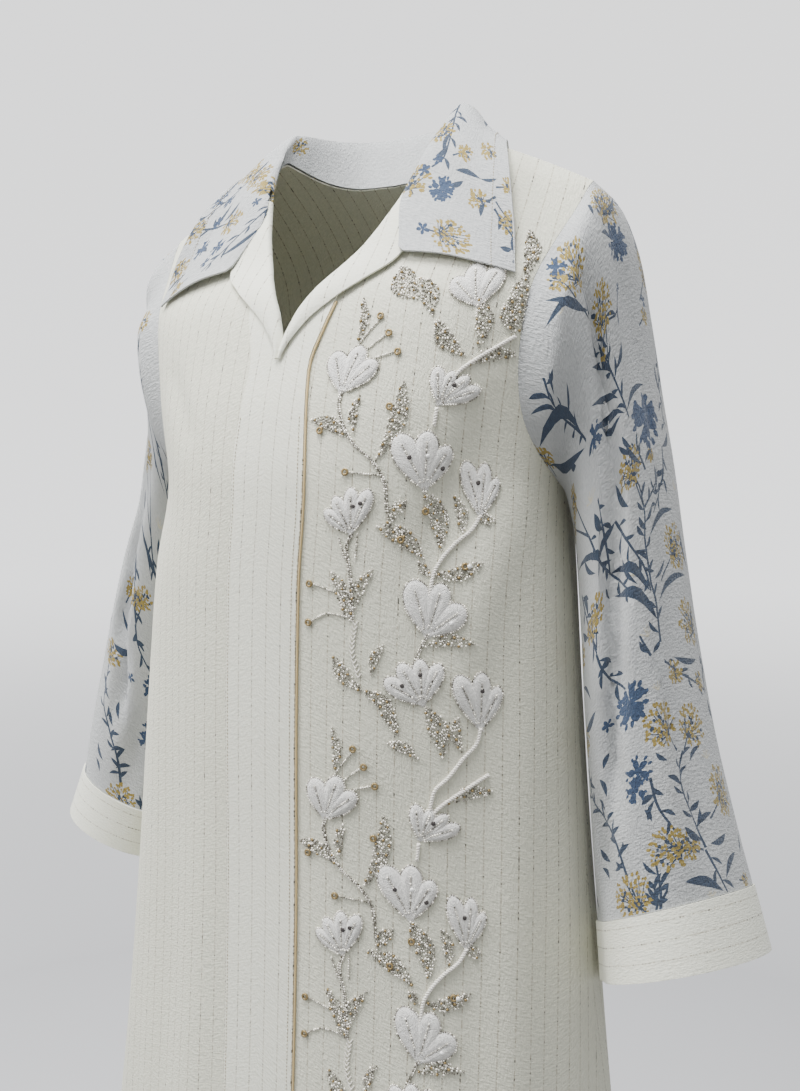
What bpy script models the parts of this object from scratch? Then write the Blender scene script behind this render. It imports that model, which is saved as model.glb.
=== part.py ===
# Worn jalabiya with a printed collar and sleeves: filled out, hollow, +Z up, front facing -Y.
# The origin is between the two side neck points, where the wearer's shoulders hold the garment.
import math

import bmesh
import bpy
import numpy as np
from mathutils import Vector
from mathutils.bvhtree import BVHTree
from mathutils.geometry import delaunay_2d_cdt

# Driving sizes in metres
SEAM_GAP = 0.0003
WALL = 0.0012
BAND_WALL = 0.0014
NECK_HALF = 0.076
SHOULDER_HALF = 0.190
SHOULDER_DROP = 0.048
SHOULDER_ROUND = 0.072
RIDGE_FRONT = -0.003
SECTION_POWER = 2.2
HEM = -1.395
PLACKET_HALF = 0.031
PIPING_RADIUS = 0.0008
FLOWER_HEIGHT = 0.0020
FLOWER_BEVEL = 0.0017
FLOWER_CLEARANCE = 0.0045
LAPEL_LIFT = 0.0024
LAPEL_ROLL = 0.0012
COLLAR_LIFT = 0.0054
COLLAR_EDGE_LIFT = 0.0024
SHARP_FOLD = 38
FRONT_COLUMNS = 14
BAND_COLUMNS = 3
SLEEVE_FRONT_SPLIT = 2

# Horizontal sections of the body: height, half width, depth to the front and the back, lean in x
BODY_SECTIONS = (
    (0.000, 0.208, 0.040, 0.066, 0.000),
    (-0.050, 0.216, 0.048, 0.090, 0.000),
    (-0.090, 0.211, 0.068, 0.104, 0.000),
    (-0.130, 0.202, 0.098, 0.111, 0.000),
    (-0.172, 0.191, 0.112, 0.112, 0.000),
    (-0.215, 0.181, 0.123, 0.110, 0.000),
    (-0.262, 0.172, 0.129, 0.104, 0.000),
    (-0.330, 0.181, 0.130, 0.094, -0.004),
    (-0.420, 0.190, 0.130, 0.088, -0.006),
    (-0.520, 0.199, 0.129, 0.091, -0.007),
    (-0.620, 0.207, 0.131, 0.100, -0.007),
    (-0.750, 0.217, 0.137, 0.114, -0.007),
    (-1.000, 0.244, 0.155, 0.145, -0.006),
    (HEM, 0.292, 0.192, 0.194, -0.004),
)
# Rows across half a front: neckline x and z, band width, armhole x and z
FRONT_ROWS = (
    (0.0760, 0.000, 0.010, 0.1900, -0.048),
    (0.0755, -0.005, 0.010, 0.1893, -0.053),
    (0.0735, -0.016, 0.010, 0.1865, -0.066),
    (0.0660, -0.041, 0.010, 0.1780, -0.092),
    (0.0560, -0.067, 0.010, 0.1700, -0.120),
    (0.0450, -0.089, 0.009, 0.1655, -0.145),
    (0.0331, -0.107, 0.009, 0.1635, -0.167),
    (0.0200, -0.124, 0.018, 0.1630, -0.188),
    (0.0083, -0.143, 0.0235, 0.1640, -0.208),
    (0.0003, -0.172, 0.0255, 0.1670, -0.231),
    (0.0003, -0.214, 0.029, 0.1712, -0.253),
    (0.0003, -0.255, 0.031, 0.1720, -0.262),
)
# Rows across half the back: neckline x and z, armhole x and z
BACK_ROWS = (
    (0.0760, 0.000, 0.1900, -0.048),
    (0.0700, -0.005, 0.1893, -0.053),
    (0.0560, -0.012, 0.1865, -0.066),
    (0.0300, -0.017, 0.1780, -0.092),
    (0.0000, -0.018, 0.1725, -0.120),
    (0.0000, -0.050, 0.1695, -0.145),
    (0.0000, -0.085, 0.1685, -0.167),
    (0.0000, -0.120, 0.1685, -0.188),
    (0.0000, -0.155, 0.1690, -0.208),
    (0.0000, -0.190, 0.1702, -0.231),
    (0.0000, -0.224, 0.1716, -0.253),
    (0.0000, -0.255, 0.1720, -0.262),
)
# Heights of the rows from the underarm to the hem
LOWER_ROWS = (
    -0.300,
    -0.345,
    -0.395,
    -0.455,
    -0.525,
    -0.605,
    -0.690,
    -0.785,
    -0.885,
    -0.990,
    -1.095,
    -1.200,
    -1.300,
    HEM,
)
# Upright folds: angle round from centre front, half angle, depth at the hem, height where it starts
SKIRT_FOLDS = (
    (0.66, 0.19, 0.015, -0.55),
    (1.17, 0.17, 0.018, -0.36),
    (1.72, 0.18, 0.016, -0.45),
    (2.28, 0.19, 0.019, -0.42),
    (2.86, 0.20, 0.016, -0.50),
    (-0.60, 0.19, 0.013, -0.58),
    (-1.13, 0.17, 0.018, -0.38),
    (-1.76, 0.18, 0.015, -0.45),
    (-2.33, 0.19, 0.018, -0.40),
)
# Sleeve rings: outer x and z, gap to the body, inner z, half depth, shift in y, rise of the front
SLEEVE_RINGS = (
    (0.201, -0.060, 0.0025, -0.266, 0.070, 0.008, 0.000),
    (0.211, -0.088, 0.0035, -0.276, 0.071, 0.017, 0.002),
    (0.2175, -0.130, 0.0045, -0.292, 0.069, 0.026, 0.006),
    (0.2245, -0.180, 0.0045, -0.315, 0.069, 0.032, 0.009),
    (0.235, -0.238, 0.0045, -0.347, 0.070, 0.034, 0.012),
    (0.2475, -0.298, 0.0045, -0.388, 0.072, 0.034, 0.015),
    (0.262, -0.362, 0.0045, -0.435, 0.075, 0.032, 0.017),
    (0.278, -0.428, 0.0045, -0.487, 0.074, 0.030, 0.018),
    (0.296, -0.490, 0.0040, -0.540, 0.073, 0.028, 0.018),
    (0.311, -0.539, 0.0035, -0.586, 0.072, 0.026, 0.018),
)
# Bottom ring of a cuff, with the columns of the sleeve rings
CUFF_BOTTOM = (0.325, -0.582, 0.0060, -0.627, 0.075, 0.022, 0.019)
# Long front crease of a sleeve: ring number, angle round from the outer side, depth
SLEEVE_CREASE = (
    (0, 0.86, 0.000),
    (1, 1.02, 0.007),
    (3, 1.10, 0.010),
    (5, 1.18, 0.011),
    (7, 1.50, 0.011),
    (8, 1.70, 0.009),
    (9, 2.10, 0.006),
    (10, 2.50, 0.002),
)
CREASE_HALF = 0.30
# Lapel: row number and width from the roll line
LAPEL_WIDTHS = ((3, 0.020), (4, 0.027), (5, 0.030), (6, 0.024), (7, 0.017), (8, 0.010), (9, 0.002))
# Collar from the centre back to the notch: roll x, y, z and outer edge x, y, z
COLLAR_STATIONS = (
    (0.0000, 0.0600, 0.0300, 0.0000, 0.1070, -0.0480),
    (0.0260, 0.0570, 0.0300, 0.0420, 0.1010, -0.0460),
    (0.0500, 0.0460, 0.0300, 0.0790, 0.0800, -0.0380),
    (0.0680, 0.0290, 0.0310, 0.1040, 0.0440, -0.0220),
    (0.0750, 0.0130, 0.0290, 0.1180, 0.0100, -0.0080),
    (0.0745, -0.0020, 0.0170, 0.1290, -0.0160, -0.0160),
    (0.0710, -0.0150, 0.0000, 0.1390, -0.0330, -0.0360),
    (0.0660, -0.0330, -0.0280, 0.1480, -0.0470, -0.0620),
    (0.0600, -0.0480, -0.0560, 0.1550, -0.0560, -0.0900),
    (0.0740, -0.0780, -0.0970, 0.1593, -0.0632, -0.1180),
)
# Stations whose neckline carries the stand
STAND_STATIONS = 8
STAND_COLUMNS = 2
STAND_GAP = 0.0006
FALL_STEPS = (0.0, 0.1, 0.28, 0.5, 0.75, 1.0)
COLLAR_SPLIT = 2
NECK_MIDDLE = 0.012
LAPEL_COLUMNS = 4
PLACKET_TOP_ROW = 6
PLACKET_SNAP = 0.001
PIPING_TOP_ROW = 7

# Raised flowers of one repeat: base's distance round from the centre front, its height, and the
# petals, each with its direction in degrees from upright and its length
FLOWERS = (
    (0.055, -0.196, ((-17, 0.029), (20, 0.033), (50, 0.031))),
    (0.124, -0.205, ((-8, 0.025), (20, 0.023), (46, 0.026), (70, 0.029))),
    (0.118, -0.261, ((-30, 0.041), (0, 0.038), (29, 0.032))),
    (0.157, -0.280, ((-17, 0.039), (4, 0.036), (24, 0.028))),
    (0.069, -0.292, ((-53, 0.025), (-28, 0.028), (-2, 0.031), (22, 0.032))),
    (0.126, -0.360, ((-18, 0.039), (14, 0.036), (53, 0.031))),
    (0.124, -0.407, ((-59, 0.031), (-31, 0.032), (-5, 0.031), (22, 0.030))),
    (0.164, -0.424, ((-25, 0.041), (-1, 0.039), (24, 0.031))),
)
FLOWER_REPEAT = 0.296
FLOWER_REPEATS = 4
PETAL_HALF = 13
PETAL_SIDE = 0.86
PETAL_VALLEY = 0.66
ARC_STEPS = 24
ROW_SQUEEZE = 0.35

CREAM = (0.80, 0.75, 0.66, 1.0)
PRINT_GROUND = (0.58, 0.61, 0.66, 1.0)
BEIGE = (0.52, 0.40, 0.22, 1.0)


def spline(rows, column, at):
    """Monotone cubic through one column of a table, read at a value of its first column."""
    order = sorted(rows, key=lambda row: row[0])
    xs = [row[0] for row in order]
    ys = [row[column] for row in order]
    at = min(max(at, xs[0]), xs[-1])
    i = min(max(int(np.searchsorted(xs, at)) - 1, 0), len(xs) - 2)

    def slope(j):
        if j == 0 or j == len(xs) - 1:
            k = min(j, len(xs) - 2)
            return (ys[k + 1] - ys[k]) / (xs[k + 1] - xs[k])
        before = (ys[j] - ys[j - 1]) / (xs[j] - xs[j - 1])
        after = (ys[j + 1] - ys[j]) / (xs[j + 1] - xs[j])
        if before * after <= 0:
            return 0.0
        return 2 * before * after / (before + after)

    h = xs[i + 1] - xs[i]
    t = (at - xs[i]) / h
    start = (2 * t**3 - 3 * t**2 + 1) * ys[i] + (t**3 - 2 * t**2 + t) * slope(i) * h
    end = (3 * t**2 - 2 * t**3) * ys[i + 1] + (t**3 - t**2) * slope(i + 1) * h
    return start + end


def smooth(t):
    t = min(max(t, 0.0), 1.0)
    return t * t * (3 - 2 * t)


def ridge_height(x):
    """Height of the shoulder seam at a width."""
    t = max(abs(x) - NECK_HALF, 0.0) / (SHOULDER_HALF - NECK_HALF)
    return -SHOULDER_DROP * t**1.25


def body_point(x, z, front):
    """Outer face of the body at a width and a height, on the front or the back."""
    half = spline(BODY_SECTIONS, 1, z)
    depth = spline(BODY_SECTIONS, 2 if front else 3, z)
    ratio = min(abs(x) / half, 1.0)
    full = depth * (1 - ratio**SECTION_POWER) ** (1 / SECTION_POWER)
    drop = min(max((ridge_height(x) - z) / SHOULDER_ROUND, 0.0), 1.0)
    rounded = (1 - (1 - drop) ** 1.7) ** (1 / 1.7)
    side = -1 if front else 1
    y = RIDGE_FRONT + (side * full - RIDGE_FRONT) * rounded
    angle = math.atan2(x, -y)
    out = 0.0
    for middle, spread, deep, top in SKIRT_FOLDS:
        away = abs((angle - middle + math.pi) % (2 * math.pi) - math.pi) / spread
        if away < 1 and z < top:
            out += deep * smooth((top - z) / (top - HEM)) * math.cos(away * math.pi / 2) ** 2
    gap = side * SEAM_GAP / 2
    return Vector((x + out * math.sin(angle), y - out * math.cos(angle) + gap, z))


def lean(points):
    """Shift points sideways with the slight lean of the hanging body."""
    return [point + Vector((spline(BODY_SECTIONS, 4, point.z), 0, 0)) for point in points]


def panel_rows(front):
    """Neckline end, band width and armhole end of every row of half a panel."""
    if front:
        rows = list(FRONT_ROWS)
        rows += [(0.0003, z, PLACKET_HALF, spline(BODY_SECTIONS, 1, z), z) for z in LOWER_ROWS]
        return rows
    rows = [(xi, zi, (xo - xi) * 0.2, xo, zo) for xi, zi, xo, zo in BACK_ROWS]
    rows += [(0.0, z, 0.2 * spline(BODY_SECTIONS, 1, z), spline(BODY_SECTIONS, 1, z), z) for z in LOWER_ROWS]
    return rows


def flat_grid(front):
    """Widths and heights of the grid of half a panel, before it is bent to the body."""
    grid = []
    for number, (xi, zi, band, xo, zo) in enumerate(panel_rows(front)):
        row = []
        for j in range(FRONT_COLUMNS + 1):
            if j <= BAND_COLUMNS:
                x = xi + band * j / BAND_COLUMNS
            else:
                t = (j - BAND_COLUMNS) / (FRONT_COLUMNS - BAND_COLUMNS)
                x = xi + band + (xo - xi - band) * (0.45 * t + 0.55 * math.sin(t * math.pi / 2))
            z = zi + (zo - zi) * (x - xi) / (xo - xi)
            if number == 0:
                z = ridge_height(x)
            row.append((x, z))
        grid.append(row)
    return grid


def grid_faces(rows, columns, closed=False):
    """Triangles of a grid of points, or of a tube when the columns close on themselves."""
    faces = []
    around = columns if closed else columns - 1
    for i in range(rows - 1):
        for j in range(around):
            k = (j + 1) % columns
            a, b = i * columns + j, (i + 1) * columns + j
            c, d = (i + 1) * columns + k, i * columns + k
            faces += [(a, c, b), (a, d, c)] if closed else [(a, b, c), (a, c, d)]
    return faces


def point_normals(points, faces):
    """Mean normal of the faces round each point."""
    sums = [Vector((0, 0, 0)) for _ in points]
    for face in faces:
        a, b, c = (points[face[0]], points[face[1]], points[face[2]])
        normal = (b - a).cross(c - a)
        for index in face:
            sums[index] += normal
    return [total.normalized() for total in sums]


def open_edges(faces):
    """Directed edges that only one face uses."""
    used = set()
    for face in faces:
        used.update((face[k - 1], face[k]) for k in range(len(face)))
    return [edge for edge in used if (edge[1], edge[0]) not in used]


def make_object(name, points, faces, color, group, smooth_shade=True):
    """Mesh object with outward faces and its own Principled material."""
    mesh = bpy.data.meshes.new(name)
    mesh.from_pydata([tuple(point) for point in lean(points)], [], faces)
    shell = bmesh.new()
    shell.from_mesh(mesh)
    loose = [vert for vert in shell.verts if not vert.link_faces]
    bmesh.ops.delete(shell, geom=loose, context="VERTS")
    bmesh.ops.recalc_face_normals(shell, faces=shell.faces)
    shell.to_mesh(mesh)
    shell.free()
    if smooth_shade:
        mesh.shade_smooth()
        mesh.set_sharp_from_angle(angle=math.radians(SHARP_FOLD))
    piece = bpy.data.objects.new(name, mesh)
    group.objects.link(piece)
    add_material(piece, color)
    return piece


def add_material(piece, color):
    """Plain cloth material of one colour."""
    cloth = bpy.data.materials.new(piece.name + "_cloth")
    cloth.use_nodes = True
    shader = cloth.node_tree.nodes["Principled BSDF"]
    shader.inputs["Base Color"].default_value = color
    shader.inputs["Roughness"].default_value = 0.85
    shader.inputs["Metallic"].default_value = 0.0
    piece.data.materials.append(cloth)


def thicken(points, faces, normals, wall):
    """Closed wall: the outer points, the same points moved in, and strips round the open edges."""
    count = len(points)
    inner = [point - normal * wall for point, normal in zip(points, normals)]
    shell = list(faces) + [tuple(index + count for index in reversed(face)) for face in faces]
    for a, b in open_edges(faces):
        shell += [(b, a, a + count), (b, a + count, b + count)]
    return list(points) + inner, shell


def mirrored(points):
    return [Vector((-point.x, point.y, point.z)) for point in points]


def panel_surface(front):
    """Points, faces and normals of the outer face of half a panel, at +X."""
    grid = flat_grid(front)
    points = [body_point(x, z, front) for row in grid for x, z in row]
    columns = FRONT_COLUMNS + 1
    faces = grid_faces(len(grid), columns)
    normals = point_normals(points, faces)
    if not front:
        normals = [-normal for normal in normals]
    for j in range(columns):
        normals[j].y = 0.0
    for i in range(len(grid)):
        if abs(grid[i][0][0]) < PLACKET_SNAP:
            normals[i * columns].x = 0.0
        if i >= len(FRONT_ROWS) - 1:
            normals[i * columns + columns - 1].y = 0.0
    return points, faces, [normal.normalized() for normal in normals]


def sleeve_angles():
    """Angle round the sleeve of each armhole point, from the shoulder by the front and back again."""
    ends = [row[4] for row in FRONT_ROWS]
    middle = (ends[0] + ends[-1]) / 2
    half = (ends[0] - ends[-1]) / 2
    angles = [math.acos(min(max((z - middle) / half, -1), 1)) for z in ends]
    front = []
    for start, end in zip(angles, angles[1:]):
        front += [start + (end - start) * k / SLEEVE_FRONT_SPLIT for k in range(SLEEVE_FRONT_SPLIT)]
    back = [2 * math.pi - angle for angle in reversed(angles[1:])]
    return front + back


def armhole_ring():
    """Armhole points in the order of the sleeve's angles, with their panel normals."""
    columns = FRONT_COLUMNS + 1
    rows = range(len(FRONT_ROWS))
    ends = {}
    for front in (True, False):
        points, _, normals = panel_surface(front)
        ends[front] = [(points[i * columns + columns - 1], normals[i * columns + columns - 1]) for i in rows]
    ring = []
    for i in list(rows)[:-1]:
        here, there = ends[True][i], ends[True][i + 1]
        for k in range(SLEEVE_FRONT_SPLIT):
            t = k / SLEEVE_FRONT_SPLIT
            ring.append((here[0].lerp(there[0], t), here[1].lerp(there[1], t).normalized()))
    ring += [ends[False][i] for i in reversed(list(rows)[1:])]
    ring[0] = (Vector((SHOULDER_HALF, RIDGE_FRONT, -SHOULDER_DROP)), ring[0][1])
    under = SLEEVE_FRONT_SPLIT * (len(FRONT_ROWS) - 1)
    ring[under] = (Vector((ring[under][0].x, 0.0, ring[under][0].z)), ring[under][1])
    return ring


def ring_point(table_row, angle, crease=0.0, crease_angle=0.0):
    """Point round one ring of a sleeve or cuff: angle 0 is outside, a quarter turn is the front."""
    outer_x, outer_z, gap, inner_z, depth, shift, rise = table_row
    inner_x = spline(BODY_SECTIONS, 1, inner_z) + gap
    away = abs(angle - crease_angle) / CREASE_HALF
    inward = crease * math.cos(away * math.pi / 2) ** 2 if away < 1 else 0.0
    middle = Vector(((outer_x + inner_x) / 2, shift, (outer_z + inner_z) / 2))
    across = Vector(((outer_x - inner_x) / 2, 0, (outer_z - inner_z) / 2))
    arm = across * math.cos(angle) + Vector((0, -depth, rise)) * math.sin(angle)
    return middle + arm * (1 - inward / arm.length)


def sleeve_surface():
    """Outer points, faces and normals of the left sleeve, with the armhole normals it shares."""
    armhole = armhole_ring()
    angles = sleeve_angles()
    rings = []
    for number, row in enumerate(SLEEVE_RINGS, start=1):
        crease_angle = spline(SLEEVE_CREASE, 1, number)
        depth = spline(SLEEVE_CREASE, 2, number)
        rings.append([ring_point(row, angle, depth, crease_angle) for angle in angles])
    first = []
    for (point, _), after in zip(armhole, rings[0]):
        first.append(point + (after - point).normalized() * SEAM_GAP)
    points = [point for ring in [first] + rings for point in ring]
    faces = grid_faces(len(rings) + 1, len(angles), closed=True)
    normals = point_normals(points, faces)
    shared = []
    for j, (_, panel_normal) in enumerate(armhole):
        weight = smooth(panel_normal.dot(normals[j]) / 0.6)
        shared.append((panel_normal + normals[j] * weight).normalized())
        normals[j] = (normals[j] + panel_normal * weight).normalized()
    return points, faces, normals, shared


def armhole_normals(shared, front):
    """Shared armhole normals in the order of a panel's rows."""
    rows = len(FRONT_ROWS)
    if front:
        return [shared[SLEEVE_FRONT_SPLIT * i] for i in range(rows)]
    turn = SLEEVE_FRONT_SPLIT * (rows - 1)
    return [shared[(turn + rows - 1 - i) % len(shared)] for i in range(rows)]


def share_seam(normals, shared, front):
    """Put the shared armhole normals into a panel's normals."""
    columns = FRONT_COLUMNS + 1
    for i, normal in enumerate(armhole_normals(shared, front)):
        here = normal.copy()
        if i in (0, len(FRONT_ROWS) - 1):
            here.y = 0.0
        normals[i * columns + columns - 1] = here.normalized()
    return normals


def make_front(name, side, shared, group):
    points, faces, normals = panel_surface(True)
    normals = share_seam(normals, shared, True)
    if side < 0:
        points, normals = mirrored(points), mirrored(normals)
        shell = thicken(points, faces, normals, WALL)
    else:
        shell = flowered_wall(points, faces, normals)
    make_object(name, *shell, CREAM, group)


def width_at(round_front, z):
    """Width of the front's point that lies a distance round the section from the centre."""
    x, run = 0.0, 0.0
    half = spline(BODY_SECTIONS, 1, z)
    before = body_point(0.0, z, True)
    for step in range(1, ARC_STEPS + 1):
        width = half * step / ARC_STEPS
        here = body_point(width, z, True)
        length = (here - before).length
        if run + length >= round_front:
            return x + (width - x) * (round_front - run) / length
        x, run, before = width, run + length, here
    return x


def round_to(x, z):
    """Distance round the front's section from the centre to a width."""
    spots = [body_point(x * step / ARC_STEPS, z, True) for step in range(ARC_STEPS + 1)]
    return sum((b - a).length for a, b in zip(spots, spots[1:]))


def petal_spots(petals):
    """Outline of a flower from its base: three points a petal, a valley between two, round sides."""
    spots = [Vector((0.0, 0.0))]
    first, last = petals[0], petals[-1]
    spots.append(petal_spot(first[0] - 1.4 * PETAL_HALF, 0.45 * first[1]))
    for k, (turn, length) in enumerate(petals):
        left = right = PETAL_HALF
        if k:
            before = petals[k - 1]
            left = 0.36 * (turn - before[0])
            reach = PETAL_VALLEY * min(length, before[1])
            spots.append(petal_spot((turn + before[0]) / 2, reach))
        if k < len(petals) - 1:
            right = 0.36 * (petals[k + 1][0] - turn)
        spots.append(petal_spot(turn - left, PETAL_SIDE * length))
        spots.append(petal_spot(turn, length))
        spots.append(petal_spot(turn + right, PETAL_SIDE * length))
    spots.append(petal_spot(last[0] + 1.4 * PETAL_HALF, 0.45 * last[1]))
    return spots


def petal_spot(turn, reach):
    return Vector((reach * math.sin(math.radians(turn)), reach * math.cos(math.radians(turn))))


def inset_ring(ring, distance):
    """Ring moved inward by a distance; the ring runs clockwise."""
    moved = []
    for before, here, after in zip(ring[-1:] + ring[:-1], ring, ring[1:] + ring[:1]):
        a, b = (here - before).normalized(), (after - here).normalized()
        inward = Vector((a.y + b.y, -a.x - b.x)).normalized()
        share = max(inward.dot(Vector((a.y, -a.x))), 0.45)
        moved.append(here + inward * distance / share)
    return moved


def flower_outlines():
    """Outer and inner outline of each raised flower: distances round from the centre, and heights."""
    outlines = []
    for repeat in range(FLOWER_REPEATS):
        for across, height, petals in FLOWERS:
            base = Vector((across, height - repeat * FLOWER_REPEAT))
            outer = petal_spots(petals)
            rings = (outer, inset_ring(outer, FLOWER_BEVEL))
            outlines.append([[base + spot for spot in ring] for ring in rings])
    return outlines


def near_outline(spot, outline):
    """True where a flat point is inside an outline or within the clearance of it."""
    inside = False
    for a, b in zip(outline, outline[1:] + outline[:1]):
        if (a.y > spot.y) != (b.y > spot.y):
            if spot.x < a.x + (spot.y - a.y) * (b.x - a.x) / (b.y - a.y):
                inside = not inside
        along = b - a
        t = min(max((spot - a).dot(along) / along.length_squared, 0.0), 1.0)
        if (a + along * t - spot).length < FLOWER_CLEARANCE:
            return True
    return inside


def flowered_wall(points, faces, normals):
    """Left front: flowers raised in the outer face, over a plain inner face."""
    columns = FRONT_COLUMNS + 1
    grid = flat_grid(True)
    flat = [Vector((round_to(x, z), z)) for row in grid for x, z in row]
    last = (len(grid) - 1) * columns
    loop = [i * columns for i in range(len(grid))] + list(range(last + 1, last + columns))
    loop += [i * columns + columns - 1 for i in reversed(range(len(grid) - 1))]
    loop += list(reversed(range(1, columns - 1)))
    band = {i for i in range(len(flat)) if i % columns <= BAND_COLUMNS}
    outlines = flower_outlines()
    kept = [
        i
        for i in range(len(flat))
        if i in loop or i in band or not any(near_outline(flat[i], outer) for outer, _ in outlines)
    ]
    place = {old: new for new, old in enumerate(kept)}
    spots = [flat[i] for i in kept]
    heights = [0.0] * len(spots)
    edges = [(place[f[k - 1]], place[f[k]]) for f in faces for k in range(3) if set(f) <= band]
    for rings in outlines:
        for ring, height in zip(rings, (0.0, FLOWER_HEIGHT)):
            start = len(spots)
            edges += [(start + k, start + (k + 1) % len(ring)) for k in range(len(ring))]
            spots += ring
            heights += [height] * len(ring)
    squeezed = [Vector((spot.x, spot.y * ROW_SQUEEZE)) for spot in spots]
    cut = delaunay_2d_cdt(squeezed, edges, [[place[i] for i in loop]], 1, 1e-7)
    outer, found = [], {}
    for new, sources in enumerate(cut[3]):
        source = sources[0]
        if source < len(kept):
            outer.append(points[kept[source]])
            found[kept[source]] = new
            continue
        x, z = width_at(*spots[source]), spots[source].y
        outer.append(body_point(x, z, True) + front_normal(x, z) * heights[source])
    count = len(outer)
    inner = [point - normal * WALL for point, normal in zip(points, normals)]
    shell = [tuple(face) for face in cut[2]] + [tuple(i + count for i in face) for face in faces]
    for a, b in zip(loop, loop[1:] + loop[:1]):
        shell += [(found[a], found[b], b + count), (found[a], b + count, a + count)]
    return outer + inner, shell


def front_normal(x, z):
    """Outward direction of the front's outer face."""
    step = 0.002
    along = body_point(x + step, z, True) - body_point(x - step, z, True)
    down = body_point(x, z - step, True) - body_point(x, z + step, True)
    return down.cross(along).normalized()


def make_back(shared, group):
    """Both halves of the back, joined down the centre below the neckline."""
    points, faces, normals = panel_surface(False)
    normals = share_seam(normals, shared, False)
    columns = FRONT_COLUMNS + 1
    count = len(points)
    twin = {i: i + count for i in range(count)}
    for i, (x, _, _, _) in enumerate(BACK_ROWS):
        if x == 0.0:
            twin[i * columns] = i * columns
    for i in range(len(BACK_ROWS), len(BACK_ROWS) + len(LOWER_ROWS)):
        twin[i * columns] = i * columns
    all_points = points + mirrored(points)
    all_normals = normals + mirrored(normals)
    left = [tuple(reversed(face)) for face in faces]
    right = [tuple(twin[index] for index in face) for face in faces]
    make_object("back", *thicken(all_points, left + right, all_normals, WALL), CREAM, group)


def make_placket(group):
    """Band down the centre with two arms along the V: the panels' own points, moved out."""
    points, _, normals = panel_surface(True)
    columns = FRONT_COLUMNS + 1
    width = BAND_COLUMNS + 1
    top = PLACKET_TOP_ROW
    rows = len(FRONT_ROWS) + len(LOWER_ROWS)
    outer, ways = [], []
    for i in range(top, rows):
        for j in range(width):
            point, normal = points[i * columns + j].copy(), normals[i * columns + j]
            if abs(point.x) < PLACKET_SNAP:
                point.x = 0.0
            outer.append(point + normal * (SEAM_GAP + BAND_WALL))
            ways.append(normal)
    count = len(outer)
    faces = grid_faces(rows - top, width)
    twin = {i: i + count for i in range(count)}
    for i in range(rows - top):
        if outer[i * width].x == 0.0:
            twin[i * width] = i * width
    other = [tuple(twin[index] for index in reversed(face)) for face in faces]
    shell = thicken(outer + mirrored(outer), faces + other, ways + mirrored(ways), BAND_WALL)
    make_object("placket", *shell, CREAM, group)


def make_piping(group):
    """Fine cord along the free edge of the placket."""
    line = bpy.data.curves.new("placket_piping", "CURVE")
    line.dimensions = "3D"
    line.bevel_depth = PIPING_RADIUS
    line.bevel_resolution = 1
    line.use_fill_caps = True
    ends = panel_rows(True)[PIPING_TOP_ROW:]
    path = line.splines.new("POLY")
    path.points.add(len(ends) - 1)
    clear = SEAM_GAP + PIPING_RADIUS
    for spot, (xi, zi, band, xo, zo) in zip(path.points, ends):
        x = xi + band + SEAM_GAP + 1.3 * PIPING_RADIUS
        z = zi + (zo - zi) * (x - xi) / (xo - xi)
        place = body_point(x, z, True) + front_normal(x, z) * clear
        spot.co = (*lean([place])[0], 1)
    piece = bpy.data.objects.new("placket_piping", line)
    group.objects.link(piece)
    add_material(piece, BEIGE)


def make_lapel(name, side, group):
    """Turned-back top of a front, lying on the placket's arm from the V edge outward."""
    rows = panel_rows(True)
    grid = []
    for number, width in LAPEL_WIDTHS:
        xi, zi, _, xo, zo = rows[number]
        row = []
        for j in range(LAPEL_COLUMNS + 1):
            t = j / LAPEL_COLUMNS
            x = xi + width * t
            z = zi + (zo - zi) * (x - xi) / (xo - xi)
            lift = LAPEL_LIFT + LAPEL_ROLL * math.sin(math.pi * t) + BAND_WALL
            row.append(body_point(x, z, True) + front_normal(x, z) * lift)
        grid.append(row)
    points = [point for row in grid for point in row]
    faces = grid_faces(len(grid), LAPEL_COLUMNS + 1)
    normals = point_normals(points, faces)
    if side < 0:
        points, normals = mirrored(points), mirrored(normals)
    make_object(name, *thicken(points, faces, normals, BAND_WALL), CREAM, group)


def body_tree():
    """Search tree of the outer faces of both fronts and the back."""
    points, faces = [], []
    for front in (True, False):
        half, quads, _ = panel_surface(front)
        for flip in (False, True):
            start = len(points)
            points += mirrored(half) if flip else half
            turn = flip == front
            faces += [tuple(start + i for i in (reversed(q) if turn else q)) for q in quads]
    return BVHTree.FromPolygons(points, faces)


def settle(point, tree, lift):
    """Move a point out until it stands clear of the body by the lift."""
    place, normal, _, _ = tree.find_nearest(point)
    height = (point - place).dot(normal)
    if height < lift and (point - place).length < 3 * lift:
        return point + normal * (lift - height)
    return point


def collar_station(table, at, neck):
    """Base, roll and outer edge of the collar at one station of its left half."""
    roll = Vector([spline(table, column, at) for column in (1, 2, 3)])
    edge = Vector([spline(table, column, at) for column in (4, 5, 6)])
    before = min(int(at), len(neck) - 2)
    base = neck[before].lerp(neck[before + 1], min(at - before, 1.0))
    return base, roll, edge


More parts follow.
